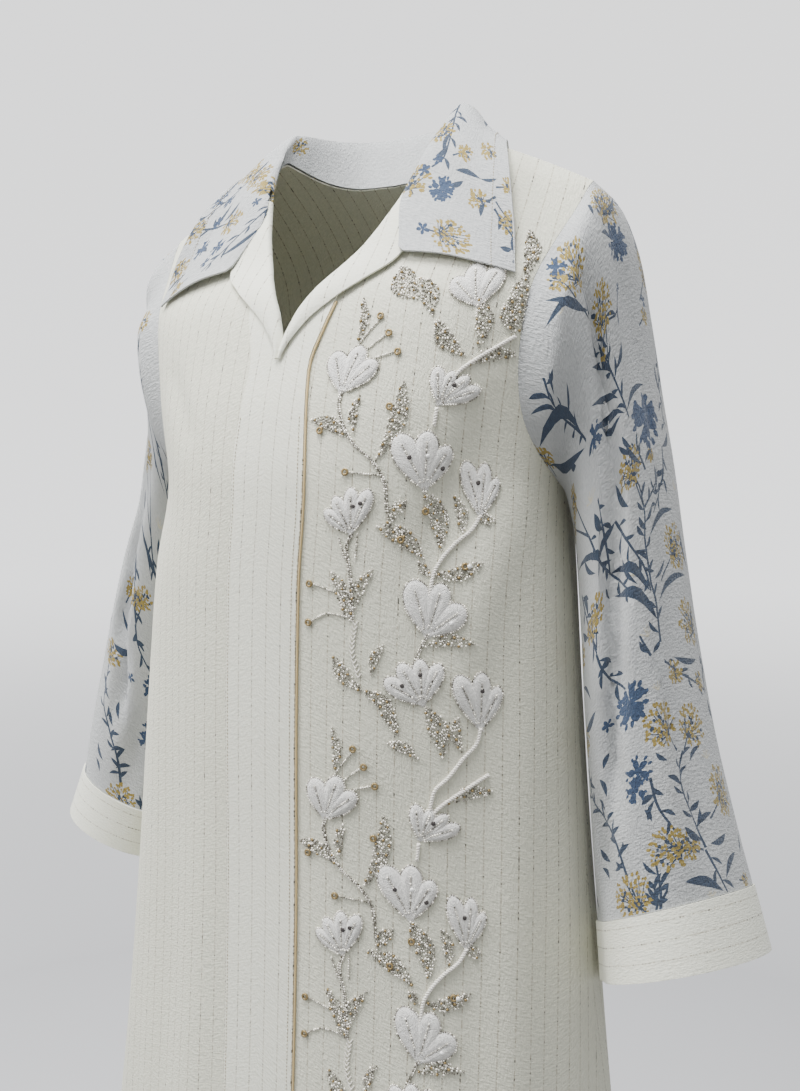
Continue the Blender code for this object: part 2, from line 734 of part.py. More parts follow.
def make_collar(group):
    """Fall and stand in one piece: from the neckline up to the roll and down to the outer edge."""
    tree = body_tree()
    table = [(number, *row) for number, row in enumerate(COLLAR_STATIONS)]
    back, front = panel_rows(False), panel_rows(True)
    neck = [body_point(back[i][0], back[i][1], False) for i in (4, 3, 2, 1)]
    neck += [body_point(front[i][0], front[i][1], True) for i in (0, 1, 2, 3)]
    steps = COLLAR_SPLIT * (len(table) - 1)
    sides = []
    for step in range(steps + 1):
        at = step / COLLAR_SPLIT
        base, roll, edge = collar_station(table, at, neck)
        inward = Vector((0, NECK_MIDDLE, base.z)) - base
        base += inward.normalized() * (STAND_GAP + BAND_WALL) + Vector((0, 0, STAND_GAP))
        column = [base.lerp(roll, k / STAND_COLUMNS) for k in range(STAND_COLUMNS)]
        out = Vector((roll.x, roll.y - NECK_MIDDLE, 0)).normalized()
        up = (Vector((0, 0, 1)) + out).normalized()
        front_share = smooth((at - 5) / 4)
        for t in FALL_STEPS:
            bulge = (0.004 - 0.002 * front_share) * math.sin(math.pi * min(t * 1.6, 1.0) ** 0.7)
            point = roll.lerp(edge, t) + up * bulge
            lift = COLLAR_LIFT + (COLLAR_EDGE_LIFT - COLLAR_LIFT) * smooth((t - 0.35) / 0.65)
            for _ in range(3):
                point = settle(point, tree, lift + BAND_WALL)
            column.append(point)
        sides.append(column)
    columns = len(sides[0])
    ring = [mirrored(column) for column in reversed(sides[1:])] + sides
    points = [point for column in ring for point in column]
    stand_end = COLLAR_SPLIT * (STAND_STATIONS - 1)
    faces = []
    for i in range(len(ring) - 1):
        from_middle = max(abs(i - steps), abs(i + 1 - steps))
        for j in range(columns - 1):
            if j < STAND_COLUMNS and from_middle > stand_end:
                continue
            a = i * columns + j
            b, c, d = a + 1, a + columns + 1, a + columns
            faces += [(a, c, b), (a, d, c)]
    normals = point_normals(points, faces)
    make_object("collar", *thicken(points, faces, normals, BAND_WALL), PRINT_GROUND, group)


def make_sleeve(name, side, surface, group):
    points, faces, normals, _ = surface
    if side < 0:
        points, normals = mirrored(points), mirrored(normals)
    make_object(name, *thicken(points, faces, normals, WALL), PRINT_GROUND, group)


def make_cuff(name, side, group):
    """Plain band below the sleeve, from the same ring as the sleeve's end."""
    angles = sleeve_angles()
    rings = []
    for t in (0.0, 0.5, 1.0):
        row = [a + (b - a) * t for a, b in zip(SLEEVE_RINGS[-1], CUFF_BOTTOM)]
        rings.append([ring_point(row, angle) for angle in angles])
    top = [a + (b - a).normalized() * SEAM_GAP for a, b in zip(rings[0], rings[1])]
    points = top + rings[1] + rings[2]
    faces = grid_faces(3, len(angles), closed=True)
    normals = point_normals(points, faces)
    if side < 0:
        points, normals = mirrored(points), mirrored(normals)
    make_object(name, *thicken(points, faces, normals, BAND_WALL), CREAM, group)


def main():
    for old in list(bpy.data.objects):
        bpy.data.objects.remove(old, do_unlink=True)
    group = bpy.data.collections.new("jalabiya")
    bpy.context.scene.collection.children.link(group)
    surface = sleeve_surface()
    shared = surface[3]
    make_front("front_right", -1, shared, group)
    make_front("front_left", 1, shared, group)
    make_back(shared, group)
    make_placket(group)
    make_piping(group)
    for name, side in (("right", -1), ("left", 1)):
        make_lapel("lapel_" + name, side, group)
        make_sleeve("sleeve_" + name, side, surface, group)
        make_cuff("cuff_" + name, side, group)
    make_collar(group)


main()
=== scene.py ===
# Worn jalabiya: cream crepe with woven dotted stripes, printed collar and sleeves, and padded,
# beaded flowers down the left front, left as worn. Metres; +Z up, front facing -Y.
import math
import random

import bmesh
import bpy
import numpy as np
from mathutils import Matrix, Vector
from mathutils.bvhtree import BVHTree
from mathutils.geometry import delaunay_2d_cdt


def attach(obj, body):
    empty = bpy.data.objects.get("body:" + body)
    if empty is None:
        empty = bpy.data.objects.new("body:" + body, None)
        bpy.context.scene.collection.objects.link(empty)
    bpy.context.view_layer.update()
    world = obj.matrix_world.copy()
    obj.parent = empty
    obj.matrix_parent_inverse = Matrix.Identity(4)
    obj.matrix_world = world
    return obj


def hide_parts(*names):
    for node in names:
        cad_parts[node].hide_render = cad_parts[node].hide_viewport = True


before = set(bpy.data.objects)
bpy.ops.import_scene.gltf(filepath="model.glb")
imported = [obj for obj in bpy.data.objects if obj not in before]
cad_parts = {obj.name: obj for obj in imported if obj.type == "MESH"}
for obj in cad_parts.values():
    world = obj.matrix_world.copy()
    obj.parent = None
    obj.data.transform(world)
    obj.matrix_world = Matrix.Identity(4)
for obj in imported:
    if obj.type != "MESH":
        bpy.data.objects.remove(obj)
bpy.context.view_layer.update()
print("packed model loaded")

millimetre = 0.001

# Form of the hanging body, the same sizes as the solids
body = {
    # height, half width, depth to the front, depth to the back, lean in x
    "sections": (
        (0.000, 0.208, 0.040, 0.066, 0.000),
        (-0.050, 0.216, 0.048, 0.090, 0.000),
        (-0.090, 0.211, 0.068, 0.104, 0.000),
        (-0.130, 0.202, 0.098, 0.111, 0.000),
        (-0.172, 0.191, 0.112, 0.112, 0.000),
        (-0.215, 0.181, 0.123, 0.110, 0.000),
        (-0.262, 0.172, 0.129, 0.104, 0.000),
        (-0.330, 0.181, 0.130, 0.094, -0.004),
        (-0.420, 0.190, 0.130, 0.088, -0.006),
        (-0.520, 0.199, 0.129, 0.091, -0.007),
        (-0.620, 0.207, 0.131, 0.100, -0.007),
        (-0.750, 0.217, 0.137, 0.114, -0.007),
        (-1.000, 0.244, 0.155, 0.145, -0.006),
        (-1.395, 0.292, 0.192, 0.194, -0.004),
    ),
    # angle round from centre front, half angle, depth at the hem, height where it starts
    "folds": (
        (0.66, 0.19, 0.015, -0.55),
        (1.17, 0.17, 0.018, -0.36),
        (1.72, 0.18, 0.016, -0.45),
        (2.28, 0.19, 0.019, -0.42),
        (2.86, 0.20, 0.016, -0.50),
        (-0.60, 0.19, 0.013, -0.58),
        (-1.13, 0.17, 0.018, -0.38),
        (-1.76, 0.18, 0.015, -0.45),
        (-2.33, 0.19, 0.018, -0.40),
    ),
    # soft creases on the front: x and z of both ends, half width, height (minus is a trough)
    "creases": (
        (0.160, -0.180, 0.112, -0.330, 0.016, -0.0060),
        (0.166, -0.215, 0.140, -0.420, 0.013, 0.0050),
        (-0.155, -0.190, -0.120, -0.345, 0.020, -0.0020),
        (0.172, -0.300, 0.178, -0.760, 0.011, 0.0030),
        (0.095, -0.420, 0.100, -0.900, 0.028, -0.0034),
        (-0.105, -0.300, -0.112, -0.860, 0.024, -0.0040),
        (-0.060, -0.460, -0.064, -1.120, 0.020, 0.0034),
        (0.048, -0.700, 0.050, -1.250, 0.020, -0.0030),
        (-0.135, -0.160, -0.080, -0.240, 0.012, -0.0030),
        (0.060, -0.030, 0.120, -0.120, 0.016, 0.0012),
    ),
    "creaseEnds": (0.04, 0.96),
    "power": 2.2,  # of the rounded sections
    "ridgeFront": -0.003,
    "ridgePower": 1.25,
    "neckHalf": 0.076,
    "shoulderHalf": 0.190,
    "shoulderDrop": 0.048,
    "shoulderRound": 0.072,
    "shoulderPower": 1.7,
    "sideFade": 0.012,  # creases die out this near the side seam
    "hem": -1.395,
    "seamGap": 0.0003,
    "wall": 0.0012,
    "bandWall": 0.0014,
}


def through(rows, at):
    # monotone cubic through a table, read at values of its first column
    table = np.array(sorted(rows), float)
    keys, values = table[:, 0], table[:, 1:]
    at = np.clip(np.asarray(at, float), keys[0], keys[-1])
    step = np.diff(keys)
    rise = np.diff(values, axis=0) / step[:, None]
    product, total = rise[:-1] * rise[1:], rise[:-1] + rise[1:]
    inner = np.where(product > 0, 2 * product / np.where(product > 0, total, 1), 0)
    slope = np.vstack([rise[:1], inner, rise[-1:]])
    i = np.clip(np.searchsorted(keys, at) - 1, 0, len(keys) - 2)
    t = ((at - keys[i]) / step[i])[..., None]
    h = step[i][..., None]
    start = (2 * t**3 - 3 * t**2 + 1) * values[i] + (t**3 - 2 * t**2 + t) * slope[i] * h
    return start + (3 * t**2 - 2 * t**3) * values[i + 1] + (t**3 - t**2) * slope[i + 1] * h


def smooth(t):
    t = np.clip(t, 0, 1)
    return t * t * (3 - 2 * t)


def unit(vectors):
    return vectors / np.maximum(np.linalg.norm(vectors, axis=-1, keepdims=True), 1e-12)


def ridgeHeight(x):
    t = np.maximum(np.abs(x) - body["neckHalf"], 0) / (body["shoulderHalf"] - body["neckHalf"])
    return -body["shoulderDrop"] * t ** body["ridgePower"]


def creaseHeight(x, z):
    total = np.zeros_like(x)
    for x0, z0, x1, z1, half, height in body["creases"]:
        along = np.array([x1 - x0, z1 - z0])
        t = np.clip(((x - x0) * along[0] + (z - z0) * along[1]) / (along @ along), 0, 1)
        away = np.hypot(x - x0 - t * along[0], z - z0 - t * along[1]) / half
        total += height * np.sin(np.pi * np.clip(t, *body["creaseEnds"])) * np.exp(-(away**2))
    return total


def bodyAt(x, z, side):
    # outer face of the body at a width and a height; side is -1 for the front and 1 for the back
    x, z = np.broadcast_arrays(np.asarray(x, float), np.asarray(z, float))
    section = through(body["sections"], z)
    half, depth = section[..., 0], section[..., 1 if side < 0 else 2]
    ratio = np.minimum(np.abs(x) / half, 1)
    full = depth * (1 - ratio ** body["power"]) ** (1 / body["power"])
    drop = np.clip((ridgeHeight(x) - z) / body["shoulderRound"], 0, 1)
    rounded = (1 - (1 - drop) ** body["shoulderPower"]) ** (1 / body["shoulderPower"])
    y = body["ridgeFront"] + (side * full - body["ridgeFront"]) * rounded
    angle = np.arctan2(x, -y)
    out = np.zeros_like(x)
    for middle, spread, deep, top in body["folds"]:
        away = np.abs((angle - middle + np.pi) % (2 * np.pi) - np.pi) / spread
        reach = smooth((top - z) / (top - body["hem"]))
        out += np.where((away < 1) & (z < top), deep * reach * np.cos(away * np.pi / 2) ** 2, 0)
    if side < 0:
        out += creaseHeight(x, z) * smooth((half - np.abs(x)) / body["sideFade"])
    y = y - out * np.cos(angle) + side * body["seamGap"] / 2
    return np.stack([x + out * np.sin(angle) + section[..., 3], y, z], axis=-1)


def gridNormals(points):
    return unit(np.cross(np.gradient(points, axis=0), np.gradient(points, axis=1)))


def bodyNormal(x, z, side):
    step = 0.0015
    across = bodyAt(x + step, z, side) - bodyAt(x - step, z, side)
    down = bodyAt(x, z - step, side) - bodyAt(x, z + step, side)
    return unit(np.cross(down, across)) * -side


def roundTo(x, z, side, steps=24):
    # distance round the section from the centre to a width
    t = np.linspace(0, 1, steps + 1)
    x, z = np.asarray(x, float), np.asarray(z, float)
    line = bodyAt(x[..., None] * t, z[..., None] * np.ones_like(t), side)
    return np.linalg.norm(np.diff(line, axis=-2), axis=-1).sum(axis=-1) * np.sign(x)


def widthAt(across, z, steps=60):
    # width of the point that lies a distance round the left front from the centre
    across, z = np.asarray(across, float), np.asarray(z, float)
    half = through(body["sections"], z)[..., 0]
    t = np.linspace(0, 1, steps + 1)
    line = bodyAt(half[:, None] * t, z[:, None] * np.ones_like(t), -1)
    runs = np.linalg.norm(np.diff(line, axis=-2), axis=-1)
    runs = np.concatenate([np.zeros((len(z), 1)), np.cumsum(runs, axis=1)], axis=1)
    i = np.clip((runs < across[:, None]).sum(axis=1), 1, steps)
    rows = np.arange(len(z))
    before, after = runs[rows, i - 1], runs[rows, i]
    return half * (t[i - 1] + (t[i] - t[i - 1]) * (across - before) / (after - before))


def onFront(across, z, lift=0.0):
    # places and normals on the left front: distance round from the centre front, height, lift
    across, z = np.atleast_1d(across).astype(float), np.atleast_1d(z).astype(float)
    x = widthAt(across, z)
    normals = bodyNormal(x, z, -1)
    return bodyAt(x, z, -1) + normals * np.broadcast_to(lift, x.shape)[:, None], normals


# Mesh and material helpers
def hexColor(text):
    # sRGB hex to linear
    values = [int(text[k : k + 2], 16) / 255 for k in (1, 3, 5)]
    linear = [v / 12.92 if v <= 0.04045 else ((v + 0.055) / 1.055) ** 2.4 for v in values]
    return (*linear, 1.0)


def addNode(tree, kind, settings=None, links=None):
    # one node; text keys that aren't sockets are its own settings, and a node links by its first output
    node = tree.nodes.new(kind)
    for key, value in (settings or {}).items():
        if isinstance(key, int) or key in node.inputs.keys():
            node.inputs[key].default_value = value
        else:
            setattr(node, key, value)
    for key, source in (links or {}).items():
        tree.links.new(getattr(source, "outputs", [source])[0], node.inputs[key])
    return node


def newMaterial(name, settings):
    material = bpy.data.materials.new(name)
    material.use_nodes = True
    tree = material.node_tree
    shader = tree.nodes["Principled BSDF"]
    for key, value in settings.items():
        shader.inputs[key].default_value = value
    return material, tree, shader


def plainMaterial(name, color, roughness, others=None):
    # one colour and gloss all over
    settings = {"Base Color": hexColor(color), "Roughness": roughness, **(others or {})}
    return newMaterial(name, settings)[0]


def placeObject(name, data):
    thing = bpy.data.objects.new(name, data)
    bpy.context.scene.collection.objects.link(thing)
    return thing


def meshPiece(name, points, faces, material=None, uv=None, cornerUv=None):
    # uv has a row for each point, cornerUv one for each corner of each face
    mesh = bpy.data.meshes.new(name)
    mesh.from_pydata([tuple(p) for p in points], [], [tuple(int(i) for i in f) for f in faces])
    if uv is not None:
        corners = np.zeros(len(mesh.loops), int)
        mesh.loops.foreach_get("vertex_index", corners)
        cornerUv = np.asarray(uv, float)[corners]
    if cornerUv is not None:
        mesh.uv_layers.new(name="cloth").data.foreach_set("uv", np.ascontiguousarray(cornerUv).ravel())
    mesh.shade_smooth()
    if material:
        mesh.materials.append(material)
    return placeObject(name, mesh)


def bakeModifiers(piece):
    # put the evaluated result in the mesh and drop the modifiers
    view = bpy.context.evaluated_depsgraph_get()
    view.update()
    mesh = bpy.data.meshes.new_from_object(piece.evaluated_get(view))
    piece.modifiers.clear()
    piece.data = mesh
    return piece


def tidyShell(piece, wall, sharp=45):
    # drop points no face uses, then give the cloth its wall, unless it has one
    shape = bmesh.new()
    shape.from_mesh(piece.data)
    loose = [vert for vert in shape.verts if not vert.link_faces]
    bmesh.ops.delete(shape, geom=loose, context="VERTS")
    if wall is None:
        bmesh.ops.recalc_face_normals(shape, faces=shape.faces)
    shape.to_mesh(piece.data)
    shape.free()
    if wall is None:
        piece.data.shade_smooth()
    else:
        shell = piece.modifiers.new("wall", "SOLIDIFY")
        shell.thickness = wall
        shell.offset = -1
        shell.use_quality_normals = True
        bakeModifiers(piece)
    piece.data.set_sharp_from_angle(angle=math.radians(sharp))
    return piece


def gridFaces(rows, columns, flip=False):
    i, j = np.meshgrid(np.arange(rows - 1), np.arange(columns - 1), indexing="ij")
    first = i * columns + j
    faces = np.stack([first, first + columns, first + columns + 1, first + 1], -1).reshape(-1, 4)
    return faces[:, ::-1] if flip else faces


def gridPiece(name, points, uv, material, flip=False):
    faces = gridFaces(*points.shape[:2], flip)
    return meshPiece(name, points.reshape(-1, 3), faces, material, uv.reshape(-1, 2))


def twoHalves(name, halves, uvs, middleRows, material):
    # one sheet of two grids, which share the first point of the rows named
    rows, columns = halves[0].shape[:2]
    count = rows * columns
    faces = gridFaces(rows, columns)
    middle = {count + i * columns: i * columns for i in middleRows}
    others = [tuple(middle.get(int(k), int(k)) for k in face[::-1]) for face in faces + count]
    points = np.concatenate([half.reshape(-1, 3) for half in halves])
    uv = np.concatenate([half.reshape(-1, 2) for half in uvs])
    return meshPiece(name, points, [tuple(face) for face in faces] + others, material, uv)


def lengthsAlong(points, axis):
    step = np.linalg.norm(np.diff(points, axis=axis), axis=-1)
    start = np.zeros_like(np.take(step, [0], axis=axis))
    return np.concatenate([start, np.cumsum(step, axis=axis)], axis=axis)


# Cotton and linen crepe, woven: matt, a crinkled fine rib, and thin dotted stripes down the cloth; the colour
# is darker in the rib's hollows as painted shade, and in broad patches of random tone
crepe = {
    "color": "#DFDDCB",
    "bandColor": "#E1E3D6",
    # darker colour, used as painted shade in the rib's hollows and for broad patches of random tone
    "shadeAndTone": "#C1C2B0",
    "stripe": "#9A907C",
    "speck": "#34302D",
    "stripePitch": 12.4 * millimetre,
    "stripeWidth": 0.8 * millimetre,  # the real line is finer; drawn to show
    "ribPitch": 1.3 * millimetre,  # real ribs are about 0.8 mm
    "ribStretch": (1.0, 0.28, 1.0),
    "weftStretch": (0.35, 1.0, 1.0),
    "crinkle": 0.6,
    "broadScale": 9.0,
    "bumpDepth": 1.0 * millimetre,
    # dashes, then specks: colour, stretch of the noise, its detail, where it sets in and is full, least, most
    "dashes": (
        ("stripe", (3.7, 560.0, 1.0), 1.0, 0.42, 0.58, 0.15, 0.85),
        ("speck", (7.3, 480.0, 1.0), 0.0, 0.69, 0.705, 0.0, 1.0),
    ),
}


def weaveHeight(tree, coordinate):
    # height of a fine upright rib, broken by crinkles
    pitch = crepe["ribPitch"]
    settings = {"operation": "MULTIPLY", 1: crepe["ribStretch"]}
    stretched = addNode(tree, "ShaderNodeVectorMath", settings, {0: coordinate})
    settings = {"Scale": 1 / pitch, "Detail": 2.0, "Roughness": 0.6}
    noise = addNode(tree, "ShaderNodeTexNoise", settings, {"Vector": stretched})
    settings = {"operation": "MULTIPLY", 1: crepe["weftStretch"]}
    cross = addNode(tree, "ShaderNodeVectorMath", settings, {0: coordinate})
    weft = addNode(tree, "ShaderNodeTexNoise", {"Scale": 0.8 / pitch, "Detail": 1.0}, {"Vector": cross})
    settings = {"operation": "MULTIPLY_ADD", 1: crepe["crinkle"]}
    return addNode(tree, "ShaderNodeMath", settings, {0: weft, 2: noise})


def dottedStripes(tree, coordinate, color, strength):
    # thin lines down the cloth, each dashed and specked by its own run of noise
    split = addNode(tree, "ShaderNodeSeparateXYZ", None, {0: coordinate})
    settings = {"operation": "DIVIDE", 1: crepe["stripePitch"]}
    lane = addNode(tree, "ShaderNodeMath", settings, {0: split})
    number = addNode(tree, "ShaderNodeMath", {"operation": "FLOOR"}, {0: lane})
    within = addNode(tree, "ShaderNodeMath", {"operation": "FRACT"}, {0: lane})
    away = addNode(tree, "ShaderNodeMath", {"operation": "SUBTRACT", 1: 0.5}, {0: within})
    distance = addNode(tree, "ShaderNodeMath", {"operation": "ABSOLUTE"}, {0: away})
    halfLine = crepe["stripeWidth"] / crepe["stripePitch"] / 2
    settings = {1: halfLine * 0.5, 2: halfLine * 1.6, 3: 1.0, 4: 0.0}
    line = addNode(tree, "ShaderNodeMapRange", settings, {0: distance})
    run = addNode(tree, "ShaderNodeCombineXYZ", None, {0: number, 1: split.outputs[1]})
    for dye, stretch, detail, start, full, least, most in crepe["dashes"]:
        settings = {"operation": "MULTIPLY", 1: stretch}
        scaled = addNode(tree, "ShaderNodeVectorMath", settings, {0: run})
        noise = addNode(tree, "ShaderNodeTexNoise", {"Scale": 1.0, "Detail": detail}, {"Vector": scaled})
        settings = {1: start, 2: full, 3: least * strength, 4: most * strength}
        isOn = addNode(tree, "ShaderNodeMapRange", settings, {0: noise})
        share = addNode(tree, "ShaderNodeMath", {"operation": "MULTIPLY"}, {0: line, 1: isOn})
        settings = {"data_type": "RGBA", 7: hexColor(crepe[dye])}
        color = addNode(tree, "ShaderNodeMix", settings, {0: share, 6: color}).outputs[2]
    return color


def crepeMaterial(name, color, shadeAndTone, stripes=1.0, relief=0.7):
    settings = {"Roughness": 0.92, "Sheen Weight": 0.12, "Sheen Roughness": 0.5}
    material, tree, shader = newMaterial(name, settings)
    coordinate = addNode(tree, "ShaderNodeUVMap", {"uv_map": "cloth"})
    height = weaveHeight(tree, coordinate)
    settings = {"Scale": crepe["broadScale"], "Detail": 3.0}
    broad = addNode(tree, "ShaderNodeTexNoise", settings, {"Vector": coordinate})
    # painted shade: the darker colour fills the low parts of the rib, where its hollows would be in shade;
    # the broad noise adds random tone
    weaveHollowShade = addNode(tree, "ShaderNodeMapRange", {1: 0.45, 2: 1.15, 3: 0.75, 4: 0.0}, {0: height})
    settings = {"operation": "MULTIPLY_ADD", 1: 0.30, 2: -0.06}
    broadTone = addNode(tree, "ShaderNodeMath", settings, {0: broad})
    settings = {"operation": "ADD", "use_clamp": True}
    shadeAndToneShare = addNode(tree, "ShaderNodeMath", settings, {0: weaveHollowShade, 1: broadTone})
    settings = {"data_type": "RGBA", 6: hexColor(color), 7: hexColor(shadeAndTone)}
    colorOut = addNode(tree, "ShaderNodeMix", settings, {0: shadeAndToneShare}).outputs[2]
    if stripes:
        colorOut = dottedStripes(tree, coordinate, colorOut, stripes)
    tree.links.new(colorOut, shader.inputs["Base Color"])
    settings = {"Strength": relief, "Distance": crepe["bumpDepth"]}
    bump = addNode(tree, "ShaderNodeBump", settings, {"Height": height})
    tree.links.new(bump.outputs[0], shader.inputs["Normal"])
    return material


creamCrepe = crepeMaterial("cottonLinenCrepe", crepe["color"], crepe["shadeAndTone"])
bandCrepe = crepeMaterial(
    "cottonLinenCrepeBand", crepe["bandColor"], crepe["color"], stripes=0.85, relief=0.5
)

# Cotton piping cord, beige, matt
pipingCord = plainMaterial("beigeCottonCord", "#BFA878", 0.8)

# Fronts and back
panels = {
    # neckline x and z, band width, armhole x and z
    "frontRows": (
        (0.0760, 0.000, 0.010, 0.1900, -0.048),
        (0.0755, -0.005, 0.010, 0.1893, -0.053),
        (0.0735, -0.016, 0.010, 0.1865, -0.066),
        (0.0660, -0.041, 0.010, 0.1780, -0.092),
        (0.0560, -0.067, 0.010, 0.1700, -0.120),
        (0.0450, -0.089, 0.009, 0.1655, -0.145),
        (0.0331, -0.107, 0.009, 0.1635, -0.167),
        (0.0200, -0.124, 0.018, 0.1630, -0.188),
        (0.0083, -0.143, 0.0235, 0.1640, -0.208),
        (0.0003, -0.172, 0.0255, 0.1670, -0.231),
        (0.0003, -0.214, 0.029, 0.1712, -0.253),
        (0.0003, -0.255, 0.031, 0.1720, -0.262),
    ),
    # neckline x and z, armhole x and z
    "backRows": (
        (0.0760, 0.000, 0.1900, -0.048),
        (0.0700, -0.005, 0.1893, -0.053),
        (0.0560, -0.012, 0.1865, -0.066),
        (0.0300, -0.017, 0.1780, -0.092),
        (0.0000, -0.018, 0.1725, -0.120),
        (0.0000, -0.050, 0.1695, -0.145),
        (0.0000, -0.085, 0.1685, -0.167),
        (0.0000, -0.120, 0.1685, -0.188),
        (0.0000, -0.155, 0.1690, -0.208),
        (0.0000, -0.190, 0.1702, -0.231),
        (0.0000, -0.224, 0.1716, -0.253),
        (0.0000, -0.255, 0.1720, -0.262),
    ),
    "lowerRows": (
        -0.300, -0.345, -0.395, -0.455, -0.525, -0.605, -0.690, -0.785, -0.885, -0.990, -1.095, -1.200,
        -1.300, -1.395,
    ),
    "underarmRow": 11,
    "placketHalf": 0.031,
    "backBand": 0.2,  # share of the back's half width
    "columnSpread": (0.45, 0.55),  # even columns, and columns that crowd towards the side
    "rowStep": 0.0075,
    "bandColumns": 6,
    "columns": 52,
}


def panelEnds(side):
    # whole table of rows: number, neckline x and z, band, armhole x and z
    if side < 0:
        rows = list(panels["frontRows"])
        inner = body["seamGap"]
    else:
        rows = [(xi, zi, panels["backBand"] * (xo - xi), xo, zo) for xi, zi, xo, zo in panels["backRows"]]
        inner = 0.0
    for z in panels["lowerRows"]:
        half = through(body["sections"], z)[0]
        band = panels["placketHalf"] if side < 0 else panels["backBand"] * half
        rows.append((inner, z, band, half, z))
    return [(number, *row) for number, row in enumerate(rows)]


def rowNumbers(side):
    ends = panelEnds(side)
    numbers = []
    for before, after in zip(ends, ends[1:]):
        drop = max(before[2] - after[2], before[5] - after[5])
        count = max(1, math.ceil(drop / panels["rowStep"]))
        numbers += [before[0] + k / count for k in range(count)]
    return np.array(numbers + [ends[-1][0]], float)


def panelFlat(side, numbers, shares):
    # widths and heights of a panel: shares run 0 to 1 over the band and 1 to 2 over the rest
    ends = through(panelEnds(side), numbers)
    xi, zi, band, xo, zo = (ends[:, k : k + 1] for k in range(5))
    xo = np.where(numbers[:, None] >= panels["underarmRow"], through(body["sections"], zo)[..., 0], xo)
    t = np.clip(shares - 1, 0, 1)[None, :]
    even, crowded = panels["columnSpread"]
    rest = (xo - xi - band) * (even * t + crowded * np.sin(t * np.pi / 2))
    x = xi + band * np.clip(shares, 0, 1)[None, :] + rest
    share = (x - xi) / (xo - xi)
    z = zi + (zo - zi) * share
    top = through(panelEnds(side), [0.0])[0]
    straight = top[1] + (top[4] - top[1]) * share
    return x, z + (ridgeHeight(x) - straight) * np.clip(1 - numbers, 0, 1)[:, None]


def panelShares():
    first = np.linspace(0, 1, panels["bandColumns"] + 1)
    return np.concatenate([first, 1 + np.linspace(0, 1, panels["columns"] + 1)[1:]])


def panelPoints(side):
    # widths and heights, points and cloth coordinates
    x, z = panelFlat(side, rowNumbers(side), panelShares())
    points = bodyAt(x, z, side)
    return x, z, points, np.stack([roundTo(x, z, side), -lengthsAlong(points, 0)], -1)


def mirrored(points):
    # the other side of the garment: the lean stays as it is
    lean = through(body["sections"], points[..., 2])[..., 3]
    turned = points.copy()
    turned[..., 0] = -(points[..., 0] - lean) + lean
    return turned


frontX, frontZ, frontPoints, frontUv = panelPoints(-1)
backX, _, backPoints, backUv = panelPoints(1)
# the right front has its own creases, so it is worked out at negative widths
rightPoints = bodyAt(-frontX, frontZ, -1)
flip = np.array([-1.0, 1.0])

frontLeft = gridPiece("frontLeftCloth", frontPoints, frontUv, creamCrepe)
frontRight = gridPiece("frontRightCloth", rightPoints, frontUv * flip, creamCrepe, flip=True)
# the halves of the back share the row's middle point below the neckline
foldRows = np.flatnonzero(np.abs(backX[:, 0]) < 1e-9)
backHalves = (mirrored(backPoints), backPoints)
backCloth = twoHalves("backCloth", backHalves, (backUv * flip, backUv), foldRows, creamCrepe)
for piece in (frontLeft, frontRight, backCloth):
    tidyShell(piece, body["wall"])
print("fronts and back made")


# Placket, with an arm up each side of the V, and the piping along its free edge
placketForm = {"firstRow": 6, "columns": 9, "centre": 0.001}


def placketPiece():
    rows = np.array([n for n in rowNumbers(-1) if n >= placketForm["firstRow"]])
    x, z = panelFlat(-1, rows, np.linspace(0, 1, placketForm["columns"]))
    x = np.where(np.abs(x) < placketForm["centre"], 0.0, x)
    lift = body["seamGap"] + body["bandWall"]
    halves = [bodyAt(side * x, z, -1) + bodyNormal(side * x, z, -1) * lift for side in (1, -1)]
    uv = np.stack([x, -lengthsAlong(halves[0], 0)], -1)
    return twoHalves("placketCloth", halves, (uv, uv * flip), np.flatnonzero(x[:, 0] == 0), bandCrepe)


placket = tidyShell(placketPiece(), body["bandWall"])


def tubePiece(name, paths, radius, material, sides=8):
    # round cords along paths, with closed ends
    line = bpy.data.curves.new(name, "CURVE")
    line.dimensions = "3D"
    line.bevel_depth = radius
    line.bevel_resolution = max(0, sides // 2 - 2)
    line.use_fill_caps = True
    for path in paths:
        spline = line.splines.new("POLY")
        spline.points.add(len(path) - 1)
        spline.points.foreach_set("co", np.column_stack([path, np.ones(len(path))]).ravel())
    curve = placeObject(name, line)
    view = bpy.context.evaluated_depsgraph_get()
    view.update()
    mesh = bpy.data.meshes.new_from_object(curve.evaluated_get(view))
    bpy.data.objects.remove(curve, do_unlink=True)
    mesh.materials.clear()
    mesh.materials.append(material)
    mesh.shade_smooth()
    return placeObject(name, mesh)


piping = {"radius": 0.0008, "firstRow": 7.0, "clear": 1.3}  # clear of the placket's edge, in radii


def pipingPath():
    ends = through(panelEnds(-1), [n for n in rowNumbers(-1) if n >= piping["firstRow"]])
    x = ends[:, 0] + ends[:, 2] + body["seamGap"] + piping["clear"] * piping["radius"]
    z = ends[:, 1] + (ends[:, 4] - ends[:, 1]) * (x - ends[:, 0]) / (ends[:, 3] - ends[:, 0])
    return bodyAt(x, z, -1) + bodyNormal(x, z, -1) * (body["seamGap"] + piping["radius"])


placketPiping = tubePiece("placketPipingCord", [pipingPath()], piping["radius"], pipingCord)

# Lapels: the tops of the fronts, rolled over the V edge and lying on the placket's arms
lapel = {
    # row number, width from the roll
    "widths": ((3, 0.020), (4, 0.027), (5, 0.030), (6, 0.024), (7, 0.017), (8, 0.010), (9, 0.002)),
    "lift": 0.0024,
    "crown": 0.0012,
    "under": -0.0024,
    "columns": 14,
    "rollSteps": 6,
    "rollFlat": 0.7,
    "inside": 0.006,
    "rows": 61,
}


